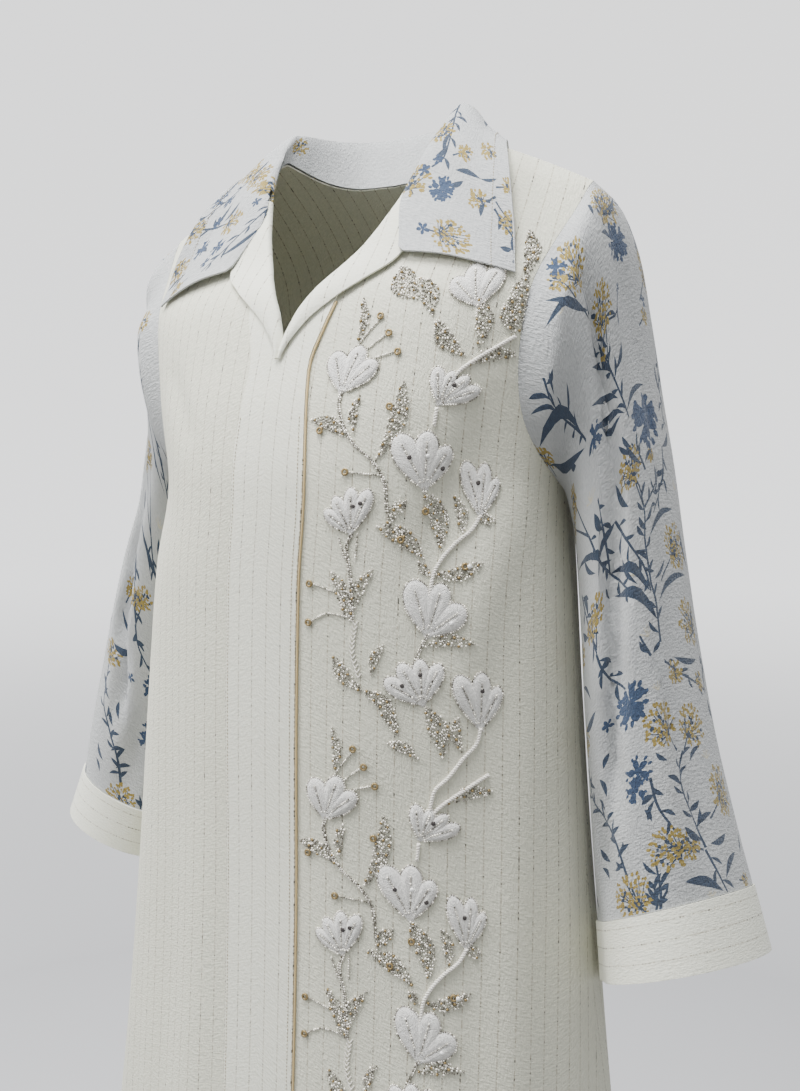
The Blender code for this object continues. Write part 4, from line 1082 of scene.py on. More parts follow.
def printedPiece(name, points, uv, copies, charts, cell, closed=False, flip=False, dropped=None):
    # cloth cut from its grid along every printed shape, so each shape is faces of its own dye
    if closed:
        us, vs = uv[:, :, 0].mean(axis=0), uv[:, 0, 1]
    else:
        us, vs = uv[:, 0, 0], uv[0, :, 1]
    low, high = (us.min(), vs.min()), (us.max(), vs.max())
    past, inset, probe, margin = (printing[key] for key in ("past", "inset", "probe", "margin"))

    def indices(flat):
        uPart = np.interp(flat[:, 0], us, np.arange(len(us)))
        order = np.argsort(vs)
        vPart = np.interp(flat[:, 1], vs[order], np.arange(len(vs))[order])
        return (vPart, uPart) if closed else (uPart, vPart)

    def placer(turn, shiftU, shiftV):
        def place(spot, onlyPlace=False):
            flat = np.array([turn * spot[0] + shiftU, spot[1] + shiftV]) * millimetre
            if onlyPlace:
                return flat / millimetre
            if not all(low[k] - past < flat[k] < high[k] + past for k in (0, 1)):
                return None, None
            inside = np.clip(flat, np.array(low) + inset, np.array(high) - inset)
            steps = np.array([inside, inside + [probe, 0], inside + [0, -probe]])
            spots = sampleGrid(points, *indices(steps))
            scale = np.linalg.norm(spots[1:] - spots[0], axis=1) / probe
            return flat / millimetre, np.clip(scale, *printing["stretch"])

        return place

    chance = random.Random(7)
    drawn = []
    for turn, shiftU, shiftV in copies:
        drawn += sprigShapes(charts, placer(turn, shiftU, shiftV), chance)
    columns = max(2, round((high[0] - low[0]) / cell))
    rows = max(2, round((high[1] - low[1]) / cell))
    lines = [np.linspace(low[k], high[k], count + 1) for k, count in enumerate((columns, rows))]
    gridU, gridV = np.meshgrid(*lines)
    flat = [np.stack([gridU.ravel(), gridV.ravel()], -1)]
    width = columns + 1
    border = list(range(width)) + [r * width + columns for r in range(1, rows)]
    border += range((rows + 1) * width - 1, rows * width - 1, -1)
    border += [r * width for r in range(rows - 1, 0, -1)]
    edges = list(zip(border, border[1:] + border[:1]))
    shapes = []
    start = len(flat[0])
    for dye, outline in drawn:
        outline = outline * millimetre
        first, last = outline.min(axis=0), outline.max(axis=0)
        if closed and (first[0] < low[0] + margin or last[0] > high[0] - margin):
            continue
        if last[1] < low[1] or first[1] > high[1] or first[0] < low[0] or last[0] > high[0]:
            continue
        outline[:, 1] = np.clip(outline[:, 1], low[1] + margin, high[1] - margin)
        edges += [(start + k, start + (k + 1) % len(outline)) for k in range(len(outline))]
        shapes.append((dyeNumber[dye], outline))
        flat.append(outline)
        start += len(outline)
    spots = [Vector(spot) for spot in np.concatenate(flat)]
    cut = delaunay_2d_cdt(spots, edges, [], 0, 1e-7)
    found = np.array([(spot.x, spot.y) for spot in cut[0]])
    triangles = np.array([list(face) for face in cut[2]])
    middles = found[triangles].mean(axis=1)
    dye = dyeOfTriangles(middles, shapes)
    place = sampleGrid(points, *indices(found))
    if dropped is not None:
        kept = ~dropped(*indices(middles))
        triangles, dye = triangles[kept], dye[kept]
    flatUv = found[triangles].reshape(-1, 2)
    if closed:
        # the two sides of the seam share their points
        left = {round(v, 6): k for k, (u, v) in enumerate(found) if u < low[0] + 1e-6}
        share = np.arange(len(found))
        for k, (u, v) in enumerate(found):
            if u > high[0] - 1e-6:
                share[k] = left[round(v, 6)]
        triangles = share[triangles]
    if flip:
        triangles, flatUv = triangles[:, ::-1], flatUv.reshape(-1, 3, 2)[:, ::-1].reshape(-1, 2)
    faces = [tuple(int(k) for k in face) for face in triangles]
    if closed:
        # a plain inner side, and rims that close both ends
        sheetUv = flat[0].reshape(rows + 1, width, 2)
        outer = sampleGrid(points, *indices(flat[0])).reshape(rows + 1, width, 3)
        normals = gridNormals(outer)
        normals[:, [0, -1]] = unit(normals[:, :1] + normals[:, -1:])
        normals *= np.sign((normals * (outer - outer.mean(axis=1, keepdims=True))).sum())
        number = len(place) + np.arange((rows + 1) * width).reshape(rows + 1, width)
        number[:, -1] = number[:, 0]
        place = np.concatenate([place, (outer - normals * body["wall"]).reshape(-1, 3)])
        extra = []
        for i in range(rows):
            for j in range(columns):
                corners = ((i, j), (i, j + 1), (i + 1, j + 1), (i + 1, j))
                faces.append(tuple(int(number[spot]) for spot in corners))
                extra += [sheetUv[spot] for spot in corners]
        for row, edge in ((0, low[1]), (rows, high[1])):
            rim = share[[k for k in np.argsort(found[:, 0]) if abs(found[k, 1] - edge) < 1e-6]]
            for j in range(columns):
                faces.append(tuple(int(k) for k in (rim[j], rim[j + 1], number[row, j + 1], number[row, j])))
                extra += [sheetUv[row, k] for k in (j, j + 1, j + 1, j)]
        flatUv = np.concatenate([flatUv, extra])
        dye = np.concatenate([dye, np.zeros(len(faces) - len(dye), int)])
    piece = meshPiece(name, place, faces, cornerUv=flatUv)
    for material in linenDyes:
        piece.data.materials.append(material)
    piece.data.polygons.foreach_set("material_index", dye.astype(np.int32))
    print(name, "printed shapes", len(shapes), "triangles", len(triangles))
    return piece


leftSleevePoints = sleeveGrid()


def closedTube(name, points, uv, material, flip):
    # the last column is the first again: share its points
    rows, columns = points.shape[:2]
    faces = gridFaces(rows, columns, flip)
    last = {i * columns + columns - 1: i * columns for i in range(rows)}
    shared = [tuple(last.get(int(k), int(k)) for k in face) for face in faces]
    return meshPiece(name, points.reshape(-1, 3), shared, material, cornerUv=uv.reshape(-1, 2)[faces.ravel()])


def cuffGrid():
    angle = np.linspace(-np.pi, np.pi, sleeve["around"] + 1)
    top, bottom = np.array(sleeve["rings"][-1]), np.array(sleeve["cuffBottom"])
    rings = []
    for t in np.linspace(0, 1, sleeve["cuffRows"]):
        rings.append(addLean(ringAt(top + (bottom - top) * t, angle, len(sleeve["rings"]))))
    rings[0] = leftSleevePoints[-1] + unit(rings[1] - rings[0]) * body["seamGap"]
    return np.array(rings)


leftCuffPoints = cuffGrid()
leftSleeveUv = sleeveUv(leftSleevePoints)
half = leftSleeveUv[0, -1, 0] / millimetre
# of the print on each sleeve: turned or not, moved round and moved down
leftCopies = ((1, 0, 0), (1, -half, 12), (1, half, -9))
rightCopies = ((-1, 40, 0), (-1, 40 - half, 15), (-1, 40 + half, -12))
rightSleevePoints, cell = mirrored(leftSleevePoints), printing["cell"]
sleeveLeft = printedPiece(
    "sleeveLeftCloth", leftSleevePoints, leftSleeveUv, leftCopies, sprigs, cell, True, True
)
sleeveRight = printedPiece(
    "sleeveRightCloth", rightSleevePoints, leftSleeveUv, rightCopies, sprigs, cell, True
)
cuffUv = sleeveUv(leftCuffPoints)[..., ::-1]
cuffLeft = closedTube("cuffLeftCloth", leftCuffPoints, cuffUv, bandCrepe, False)
cuffRight = closedTube("cuffRightCloth", mirrored(leftCuffPoints), cuffUv, bandCrepe, True)
for piece in (sleeveLeft, sleeveRight):
    tidyShell(piece, None, sharp=60)
for piece in (cuffLeft, cuffRight):
    tidyShell(piece, body["bandWall"])
print("sleeves and cuffs made")

# Collar: stand and fall in one piece, from the neckline over the roll to the outer edge
collar = {
    # roll x, y, z and outer edge x, y, z, from the centre back to the notch
    "stations": (
        (0.0000, 0.0600, 0.0300, 0.0000, 0.1070, -0.0480),
        (0.0260, 0.0570, 0.0300, 0.0420, 0.1010, -0.0460),
        (0.0500, 0.0460, 0.0300, 0.0790, 0.0800, -0.0380),
        (0.0680, 0.0290, 0.0310, 0.1040, 0.0440, -0.0220),
        (0.0750, 0.0130, 0.0290, 0.1180, 0.0100, -0.0080),
        (0.0745, -0.0020, 0.0170, 0.1290, -0.0160, -0.0160),
        (0.0710, -0.0150, 0.0000, 0.1390, -0.0330, -0.0360),
        (0.0660, -0.0330, -0.0280, 0.1480, -0.0470, -0.0620),
        (0.0600, -0.0480, -0.0560, 0.1550, -0.0560, -0.0900),
        (0.0740, -0.0780, -0.0970, 0.1593, -0.0632, -0.1180),
    ),
    "standStations": 8,
    "standRows": 10,
    "fallRows": 33,
    "frontFrom": 5,  # station where the fall starts to flatten towards the front
    "bulge": (0.004, 0.002),  # of the fall at the back, and how much less in front
    "standGap": 0.0006,
    "lift": 0.0054,
    "edgeLift": 0.0024,
    "neckMiddle": 0.012,
    "split": 8,
    "softened": 5,
}


def bodyTree():
    points, faces = [], []
    grids = ((frontPoints, False), (rightPoints, True), (backPoints, True), (mirrored(backPoints), False))
    for grid, turned in grids:
        faces += [[int(k) + len(points) for k in face] for face in gridFaces(*grid.shape[:2], flip=turned)]
        points += [Vector(spot) for spot in grid.reshape(-1, 3)]
    return BVHTree.FromPolygons(points, faces)


def settle(point, tree, lift):
    # move a point out until it stands clear of the cloth below
    place, normal, _, _ = tree.find_nearest(point)
    height = (point - place).dot(normal)
    if height < lift and (point - place).length < 3 * lift:
        return point + normal * (lift - height)
    return point


def collarGrid():
    tree = bodyTree()
    table = [(n, *row) for n, row in enumerate(collar["stations"])]
    back, front = panels["backRows"], panels["frontRows"]
    neck = [bodyAt(*row[:2], 1) for row in back[4:0:-1]] + [bodyAt(*row[:2], -1) for row in front[:4]]
    neckRows = [(i, *spot) for i, spot in enumerate(neck)]
    wall = body["bandWall"]
    lines = []
    for at in np.linspace(0, len(table) - 1, collar["split"] * (len(table) - 1) + 1):
        row = through(table, at)
        roll, edge = Vector(row[:3]), Vector(row[3:])
        base = Vector(through(neckRows, min(at, len(neck) - 1)))
        inward = (Vector((0, collar["neckMiddle"], base.z)) - base).normalized()
        base += inward * (collar["standGap"] + wall) + Vector((0, 0, collar["standGap"]))
        out = Vector((roll.x, roll.y - collar["neckMiddle"], 0)).normalized()
        up = (Vector((0, 0, 1)) + out).normalized()
        frontShare = float(smooth((at - collar["frontFrom"]) / 4))
        full = collar["bulge"][0] - collar["bulge"][1] * frontShare
        path = [base.lerp(roll, k / collar["standRows"]) for k in range(collar["standRows"])]
        for t in np.linspace(0, 1, collar["fallRows"]):
            bulge = full * math.sin(math.pi * min(t * 1.6, 1.0) ** 0.7)
            point = roll.lerp(edge, float(t)) + up * bulge
            lift = collar["lift"] + (collar["edgeLift"] - collar["lift"]) * float(smooth((t - 0.35) / 0.65))
            for _ in range(3):
                point = settle(point, tree, lift + wall)
            path.append(point)
        lines.append(np.array(path))
    lines = np.array(lines)
    # soften the roll and the settled folds
    for _ in range(collar["softened"]):
        lines[:, 1:-1] = (lines[:, :-2] + 2 * lines[:, 1:-1] + lines[:, 2:]) / 4
    return lines


collarHalf = collarGrid()
other = collarHalf.copy()
other[..., 0] *= -1
collarPoints = np.concatenate([other[:0:-1], collarHalf])
collarAlong = lengthsAlong(collarPoints, 0)[:, -1]
collarAcross = lengthsAlong(collarPoints, 1).mean(axis=0)
collarUv = np.stack(np.meshgrid(collarAlong, collarAcross, indexing="ij"), -1)


def offCollar(row, column):
    # the stand ends before the collar's points do
    middle = collarPoints.shape[0] // 2
    reach = collar["split"] * (collar["standStations"] - 1)
    return (column < collar["standRows"]) & (np.abs(row - middle) > reach)


collarCopies, cell = ((1, 0, 0),), printing["collarCell"]
collarCloth = printedPiece(
    "collarCloth", collarPoints, collarUv, collarCopies, collarSprigs, cell, dropped=offCollar
)
tidyShell(collarCloth, body["bandWall"])
print("collar made")

# Small parts laid along paths or over patches by geometry nodes
scatterInputs = (
    ("Geometry", "Geometry"),
    ("Part", "Object"),
    ("Spacing", "Float"),
    ("Smallest", "Float"),
    ("Largest", "Float"),
    ("Seed", "Int"),
    ("Coating", "Material"),
)


def scatterTree(name, onPath):
    # inputs by name, then a part on each spot, sized at random, with a random value for its painted glint,
    # made real and coated
    tree = bpy.data.node_groups.new(name, "GeometryNodeTree")
    for label, kind in scatterInputs:
        tree.interface.new_socket(label, in_out="INPUT", socket_type="NodeSocket" + kind)
    tree.interface.new_socket("Geometry", in_out="OUTPUT", socket_type="NodeSocketGeometry")
    given = addNode(tree, "NodeGroupInput").outputs
    if onPath:
        curve = addNode(tree, "GeometryNodeMeshToCurve", None, {"Mesh": given["Geometry"]})
        links = {"Curve": curve, "Length": given["Spacing"]}
        spots = addNode(tree, "GeometryNodeCurveToPoints", {"mode": "LENGTH"}, links)
    else:
        links = {0: given["Spacing"], 1: given["Spacing"]}
        square = addNode(tree, "ShaderNodeMath", {"operation": "MULTIPLY"}, links)
        most = addNode(tree, "ShaderNodeMath", {"operation": "DIVIDE", 0: 3.0}, {1: square})
        links = {"Mesh": given["Geometry"], "Distance Min": given["Spacing"], "Density Max": most}
        links["Seed"] = given["Seed"]
        settings = {"distribute_method": "POISSON"}
        spots = addNode(tree, "GeometryNodeDistributePointsOnFaces", settings, links)
    settings = {"data_type": "FLOAT"}
    links = {2: given["Smallest"], 3: given["Largest"], 8: given["Seed"]}
    size = addNode(tree, "FunctionNodeRandomValue", settings, links)
    glint = addNode(tree, "FunctionNodeRandomValue", settings, {8: given["Seed"]})
    part = addNode(tree, "GeometryNodeObjectInfo", None, {"Object": given["Part"]})
    links = {"Points": spots, "Instance": part.outputs["Geometry"]}
    links.update({"Rotation": spots.outputs["Rotation"], "Scale": size.outputs[1]})
    placed = addNode(tree, "GeometryNodeInstanceOnPoints", None, links)
    settings = {"data_type": "FLOAT", "domain": "INSTANCE", "Name": "glint"}
    links = {"Geometry": placed, "Value": glint.outputs[1]}
    marked = addNode(tree, "GeometryNodeStoreNamedAttribute", settings, links)
    real = addNode(tree, "GeometryNodeRealizeInstances", None, {0: marked})
    links = {"Geometry": real, "Material": given["Coating"]}
    coated = addNode(tree, "GeometryNodeSetMaterial", None, links)
    addNode(tree, "NodeGroupOutput", None, {0: coated})
    return tree


pathTree = scatterTree("partsAlongPath", True)
patchTree = scatterTree("partsOverPatch", False)


def scatter(name, points, edges, faces, tree, part, spacing, sizes, seed, coating):
    mesh = bpy.data.meshes.new(name)
    mesh.from_pydata([tuple(p) for p in points], edges, faces)
    piece = placeObject(name, mesh)
    nodes = piece.modifiers.new("scatter", "NODES")
    nodes.node_group = tree
    values = {"Part": part, "Spacing": spacing, "Seed": seed, "Coating": coating}
    values["Smallest"], values["Largest"] = sizes
    for socket in tree.interface.items_tree:
        if socket.in_out == "INPUT" and socket.name in values:
            nodes[socket.identifier] = values[socket.name]
    bakeModifiers(piece)
    piece.data.shade_smooth()
    return piece


def alongPaths(name, paths, part, spacing, sizes, seed, coating):
    points = np.concatenate([np.asarray(path) for path in paths])
    edges, start = [], 0
    for path in paths:
        edges += [(start + k, start + k + 1) for k in range(len(path) - 1)]
        start += len(path)
    return scatter(name, points, edges, [], pathTree, part, spacing, sizes, seed, coating)


def roundPart(name, radius, finer, stretch=(1, 1, 1)):
    shape = bmesh.new()
    bmesh.ops.create_icosphere(shape, subdivisions=finer, radius=radius)
    bmesh.ops.scale(shape, vec=Vector(stretch), verts=shape.verts)
    mesh = bpy.data.meshes.new(name)
    shape.to_mesh(mesh)
    shape.free()
    return bpy.data.objects.new(name, mesh)


def joinPieces(name, pieces):
    # one mesh from several, each keeping its own materials
    with bpy.context.temp_override(
        active_object=pieces[0], selected_editable_objects=pieces, object=pieces[0]
    ):
        bpy.ops.object.join()
    pieces[0].name = name
    return pieces[0]


# Embroidery down the left front, left as worn: silver-lined glass beads, each painted dark or bright at
# random as a painted glint, brown-gold ring beads, dark sequins, clear crystals, twisted silver-white cord
# and padded satin petals
silverBead, beadTree, beadShader = newMaterial("silverGlassBead", {"Metallic": 0.55, "Roughness": 0.3})
paintedGlintValue = addNode(beadTree, "ShaderNodeAttribute", {"attribute_name": "glint"})
paintedGlintRamp = addNode(beadTree, "ShaderNodeValToRGB", None, {0: paintedGlintValue.outputs["Fac"]})
beadTree.links.new(paintedGlintRamp.outputs[0], beadShader.inputs["Base Color"])
# painted glint: each bead's colour runs from a dark painted shade to a bright painted highlight, set by the
# random value stored on it
for spot, paintedLightTone in zip(paintedGlintRamp.color_ramp.elements, ("#4A443B", "#EBE7DC")):
    spot.color = hexColor(paintedLightTone)
goldBead = plainMaterial("brownGoldBead", "#7D6C4B", 0.35, {"Metallic": 0.8})  # plated glass
darkSequin = plainMaterial("darkSequin", "#3F3B3A", 0.25, {"Metallic": 0.7})  # coated plastic, glossy
clearCrystal = plainMaterial("clearCrystal", "#EFEFEC", 0.06, {"IOR": 1.52, "Coat Weight": 0.6})  # cut glass
cordThread = plainMaterial("silverWhiteCord", "#E4E0D7", 0.5, {"Metallic": 0.1})  # twisted metallic thread
sewingThreadPaintedShadow = plainMaterial("threadWithPaintedShadow", "#A2967C", 0.75)  # matt, and painted darker than cream as painted shadow along the stitched edges

embroidery = {
    "repeat": 296,
    "repeats": 4,
    # base round from the centre front and height, then each petal's direction in degrees and length
    "flowers": (
        (55, -196, ((-17, 29), (20, 33), (50, 31))),
        (124, -205, ((-8, 25), (20, 23), (46, 26), (70, 29))),
        (118, -261, ((-30, 41), (0, 38), (29, 32))),
        (157, -280, ((-17, 39), (4, 36), (24, 28))),
        (69, -292, ((-53, 25), (-28, 28), (-2, 31), (22, 32))),
        (126, -360, ((-18, 39), (14, 36), (53, 31))),
        (124, -407, ((-59, 31), (-31, 32), (-5, 31), (22, 30))),
        (164, -424, ((-25, 41), (-1, 39), (24, 31))),
    ),
    "topFlower": ((142, -139, ((-48, 27), (-15, 30), (22, 28))),),
    # tip, base, width
    "leaves": (
        (34, -215, 66, -229, 7), (70, -198, 67, -225, 5), (99, -188, 84, -243, 9),
        (174, -172, 141, -180, 7), (117, -262, 132, -304, 10), (168, -283, 155, -280, 6),
        (139, -266, 145, -293, 6), (107, -269, 94, -287, 7), (86, -287, 121, -309, 9),
        (162, -311, 128, -320, 8), (158, -366, 124, -369, 7), (126, -409, 139, -445, 10),
        (89, -404, 108, -431, 7), (148, -414, 152, -441, 6), (100, -435, 122, -445, 6),
        (57, -318, 69, -352, 7), (88, -316, 72, -352, 7), (60, -376, 82, -400, 8), (106, -418, 82, -400, 8),
        (97, -367, 88, -389, 5), (117, -311, 127, -320, 5), (60, -131, 62, -163, 5),
    ),
    "topLeaves": (
        (80, -108, 101, -134, 13), (97, -118, 113, -146, 10), (115, -147, 138, -173, 9),
        (143, -132, 146, -169, 9), (172, -116, 174, -158, 10), (164, -132, 170, -160, 8),
        (163, -86, 170, -122, 8), (148, -170, 166, -168, 6),
    ),
    # twisted cords, stems of paired bead rows, stems of V stitches, and bead strings
    "ropes": (
        ((123, -208), (122, -220)),
        ((157, -280), (152, -289), (142, -298), (133, -309), (128, -320), (126, -337)),
        ((164, -424), (162, -433), (152, -445), (143, -457), (133, -468), (130, -482)),
        ((170, -160), (162, -165), (148, -174), (136, -183), (128, -193)),
    ),
    "beadStems": (
        ((56, -196), (54, -203), (56, -212), (66, -230), (83, -245), (91, -259), (93, -277)),
        ((70, -293), (67, -302), (71, -320), (74, -352)),
        ((126, -360), (121, -371), (116, -384), (110, -398)),
    ),
    "chains": (((76, -355), (74, -373), (79, -391)),),
    "tendrils": (
        ((88, -253), (75, -252), (65, -251)), ((56, -179), (65, -161), (76, -147)),
        ((57, -179), (73, -165), (82, -158)), ((59, -181), (76, -174), (90, -170)),
        ((73, -337), (57, -332), (43, -328)), ((73, -350), (56, -348), (43, -354)),
        ((61, -296), (66, -309)), ((74, -293), (74, -309)),
    ),
    "sequins": (
        (133, -193), (107, -241), (129, -248), (155, -258), (70, -274), (75, -272), (110, -395),
        (122, -387), (164, -398),
    ),
    "crystals": ((119, -240), (152, -314), (142, -352)),
    "rings": (
        (42, -223), (91, -207), (119, -277), (104, -296), (76, -145), (84, -157), (92, -170), (63, -251),
        (41, -328), (41, -355), (149, -314),
    ),
    "petalHeight": 3.0,
    "petalRows": 15,
    "petalColumns": 13,
    "petalWidth": 0.31,  # half width as a share of the length
    "petalCrowd": 0.90,  # less where the next petal is near
    "groove": 1.1,
    "grooveHalf": 0.9,
    "beadRadius": 0.85,
    "beadSpacing": 1.65,
    "fillSpacing": 1.45,
    "leafFullness": 1.35,
    "goldSpacing": 5.2,
    # sizes of the beads: the smallest and the largest, as shares of one bead
    "beadSizes": (0.8, 1.12),
    "fillSizes": (0.85, 1.25),
    "goldSizes": (1.1, 1.5),
    "cordRadius": 1.25,
    "cordPitch": 3.8,
    "strand": 0.62,  # share of the cord's radius
    "beadRows": 0.75,  # each row's distance from the middle of its stem
    "chainStep": 3.2,
    "chainArm": ((0, 0), (1.1, 1.3), (1.9, 2.8)),
    "chainRadius": 0.5,
    # heights of the parts above the cloth
    "lifts": {
        "outline": 1.0, "leaf": 0.6, "rope": 0.9, "thread": 0.6, "sequins": 2.6, "crystals": 2.4, "rings": 1.3
    },
    # share along a petal and share of its widest half
    "petalOutline": (
        (0.0, 0.10), (0.15, 0.36), (0.35, 0.70), (0.62, 1.0), (0.80, 0.93), (0.93, 0.60), (0.985, 0.26),
        (1.0, 0.02),
    ),
}


def petalGrid(base, petals, number):
    # places on the flat front of one petal, with heights: rows along it and columns across
    turn, length = petals[number]
    gaps = [abs(turn - petals[k][0]) for k in (number - 1, number + 1) if 0 <= k < len(petals)]
    room = math.sin(math.radians(min(gaps) / 2))
    widest = min(embroidery["petalWidth"] * length, embroidery["petalCrowd"] * length * room)
    t = 1 - (1 - np.linspace(0, 1, embroidery["petalRows"])) ** 1.25
    half = widest * through(embroidery["petalOutline"], t)[:, 0]
    q = np.sin(np.linspace(-np.pi / 2, np.pi / 2, embroidery["petalColumns"]))
    along = length * (t[:, None] - 0.10 * (1 - t[:, None]) * q[None, :] ** 2)
    aside = half[:, None] * q[None, :]
    a = math.radians(turn)
    across = base[0] + along * math.sin(a) + aside * math.cos(a)
    height = base[1] + along * math.cos(a) - aside * math.sin(a)
    ends = np.clip(half / widest, 0, 1) ** 0.7
    dome = embroidery["petalHeight"] * np.sqrt(1 - 0.999 * q[None, :] ** 2) * ends[:, None]
    vein = embroidery["groove"] * np.exp(-((aside / embroidery["grooveHalf"]) ** 2))
    vein *= smooth((0.86 - t) / 0.2)[:, None] * ends[:, None]
    return across, height, dome - vein, along, aside


def satinMaterial():
    # white satin-stitch thread laid out from the vein, as fine ridges, painted greyer in the low parts
    # between ridges as painted shade
    material, tree, shader = newMaterial("whiteSatinThread", {"Roughness": 0.55, "Sheen Weight": 0.2})
    uvMap = addNode(tree, "ShaderNodeUVMap", {"uv_map": "cloth"})
    split = addNode(tree, "ShaderNodeSeparateXYZ", None, {0: uvMap})
    aside = addNode(tree, "ShaderNodeMath", {"operation": "ABSOLUTE"}, {0: split.outputs[1]})
    slope = addNode(tree, "ShaderNodeMath", {"operation": "MULTIPLY_ADD", 1: -0.8}, {0: aside, 2: split})
    lane = addNode(tree, "ShaderNodeCombineXYZ", None, {0: slope, 1: aside})
    settings = {"operation": "MULTIPLY", 1: (900.0, 380.0, 1.0)}
    stretched = addNode(tree, "ShaderNodeVectorMath", settings, {0: lane})
    settings = {"Scale": 1.0, "Detail": 3.0, "Roughness": 0.7}
    noise = addNode(tree, "ShaderNodeTexNoise", settings, {"Vector": stretched})
    # painted shade: the noise that raises the ridges also turns the thread grey where it is low, in the
    # grooves
    settings = {"data_type": "RGBA", 6: hexColor("#D3D0C9"), 7: hexColor("#FDFCF8")}
    paintedLightTone = addNode(tree, "ShaderNodeMix", settings, {0: noise})
    tree.links.new(paintedLightTone.outputs[2], shader.inputs["Base Color"])
    bump = addNode(tree, "ShaderNodeBump", {"Strength": 1.0, "Distance": 1.6 * millimetre}, {"Height": noise})
    tree.links.new(bump.outputs[0], shader.inputs["Normal"])
    return material


satinThread = satinMaterial()


def stitched(across, height, lift):
    # places and normals on the left front, from millimetres
    return onFront(*(np.ravel(values) * millimetre for values in (across, height, lift)))


def pathPoints(path, step):
    # points a step apart on a smooth path through charted points
    length = lengthsAlong(np.array(path, float), 0)[-1]
    return readPath(path, np.linspace(0, length, max(3, int(length / step) + 1)))


def frontPath(path, drop, lift, step=1.2):
    flat = pathPoints(path, step)
    return stitched(flat[:, 0], flat[:, 1] - drop, lift)


def twistedCord(name, paths, radius, pitch, coating):
    # two strands wound round each other along each path
    strands = []
    strand = radius * embroidery["strand"]
    for middle, normal in paths:
        way = unit(np.gradient(middle, axis=0))
        aside = np.cross(normal, way)
        turns = lengthsAlong(middle, 0)[:, None] / pitch * 2 * np.pi
        for phase in (0, np.pi):
            strands.append(middle + strand * (normal * np.sin(turns + phase) + aside * np.cos(turns + phase)))
    return tubePiece(name, strands, strand, coating, 6)


def petalParts(flowers, drop):
    # padded petals as one mesh, and the paths of the beads round them and down their grooves
    points, faces, uvs, outlines = [], [], [], []
    for across, height, petals in flowers:
        for k in range(len(petals)):
            s, z, rise, along, aside = petalGrid((across, height - drop), petals, k)
            faces += [tuple(int(i) + len(points) for i in face) for face in gridFaces(*s.shape)]
            points += list(stitched(s, z, rise + 0.1)[0])
            uvs += list(np.stack([along, aside], -1).reshape(-1, 2) * millimetre)
            edge = np.array([[line[2:, 0], line[:1:-1, -1]] for line in (s, z)]).reshape(2, -1)
            outlines.append(stitched(*edge, embroidery["lifts"]["outline"])[0])
            vein = (slice(3, 11), embroidery["petalColumns"] // 2)
            outlines.append(stitched(s[vein], z[vein], rise[vein] + 0.4)[0])
    return meshPiece("petals", points, faces, satinThread, uvs), outlines


def leafPatches(leaves, drop):
    # flat leaves, three points across, for the beads that fill them
    points, faces = [], []
    for tipX, tipY, baseX, baseY, width in leaves:
        outline = leafShape((tipX, tipY - drop), (baseX, baseY - drop), width * embroidery["leafFullness"])
        first = outline[:9]
        second = np.concatenate([outline[:1], outline[:8:-1], outline[8:9]])
        both = np.stack([first, (first + second) / 2, second], axis=1)
        faces += [tuple(int(i) + len(points) for i in face) for face in gridFaces(9, 3)]
        points += list(stitched(both[..., 0], both[..., 1], embroidery["lifts"]["leaf"])[0])
    return points, faces


def sewnParts(kind, part, coating, drop):
    # one copy of a part at each charted spot, lying on the cloth
    spots = np.array(embroidery[kind], float) - (0, drop)
    pieces = []
    for spot, normal in zip(*stitched(spots[:, 0], spots[:, 1], embroidery["lifts"][kind])):
        mesh = part.data.copy()
        turn = Vector(normal).to_track_quat("Z", "Y").to_matrix().to_4x4()
        mesh.transform(Matrix.Translation(spot) @ turn)
        mesh.materials.clear()
        mesh.materials.append(coating)
        mesh.shade_smooth()
        pieces.append(placeObject(kind, mesh))
    return pieces


def stitchRepeat(number, parts):
    # one repeat of the embroidery, as one mesh
    drop = number * embroidery["repeat"]
    flowers, leaves, lifts = embroidery["flowers"], embroidery["leaves"], embroidery["lifts"]
    if number == 0:
        flowers, leaves = flowers + embroidery["topFlower"], leaves + embroidery["topLeaves"]
    bead, spacing = parts["bead"], embroidery["beadSpacing"] * millimetre
    petalsPiece, outlines = petalParts(flowers, drop)
    sizes = embroidery["beadSizes"]
    pieces = [petalsPiece, alongPaths("outlineBeads", outlines, bead, spacing, sizes, number, silverBead)]
    points, faces = leafPatches(leaves, drop)
    proud = [point + np.array([0, -0.4 * millimetre, 0]) for point in points]  # a little in front
    for name, spots, step, ends, seed, coating in (
        ("leafBeads", points, embroidery["fillSpacing"], embroidery["fillSizes"], 11, silverBead),
        ("leafGold", proud, embroidery["goldSpacing"], embroidery["goldSizes"], 31, goldBead),
    ):
        step *= millimetre
        pieces.append(scatter(name, spots, [], faces, patchTree, bead, step, ends, seed + number, coating))
    cords = [frontPath(path, drop, lifts["rope"], 0.55) for path in embroidery["ropes"]]
    cordRadius, cordPitch = embroidery["cordRadius"] * millimetre, embroidery["cordPitch"] * millimetre
    pieces.append(twistedCord("cords", cords, cordRadius, cordPitch, cordThread))
    arms = []
    for path in embroidery["chains"]:
        for x, z in pathPoints(path, embroidery["chainStep"]):
            for side in (-1, 1):
                arm = [(x + side * out, z + up) for out, up in embroidery["chainArm"]]
                arms.append(frontPath(arm, drop, lifts["thread"], 1.0)[0])
    pieces.append(tubePiece("chainStitches", arms, embroidery["chainRadius"] * millimetre, cordThread, 6))
    tendrils = [frontPath(path, drop, lifts["thread"])[0] for path in embroidery["tendrils"]]
    for path in embroidery["beadStems"]:
        for side in (-embroidery["beadRows"], embroidery["beadRows"]):
            tendrils.append(frontPath([(x + side, z) for x, z in path], drop, lifts["thread"])[0])
    pieces.append(alongPaths("tendrilBeads", tendrils, bead, spacing, sizes, 51 + number, silverBead))
    for kind, coating in (("sequins", darkSequin), ("crystals", clearCrystal), ("rings", goldBead)):
        pieces += sewnParts(kind, parts[kind], coating, drop)
    return joinPieces("embroidery%d" % (number + 1), pieces)


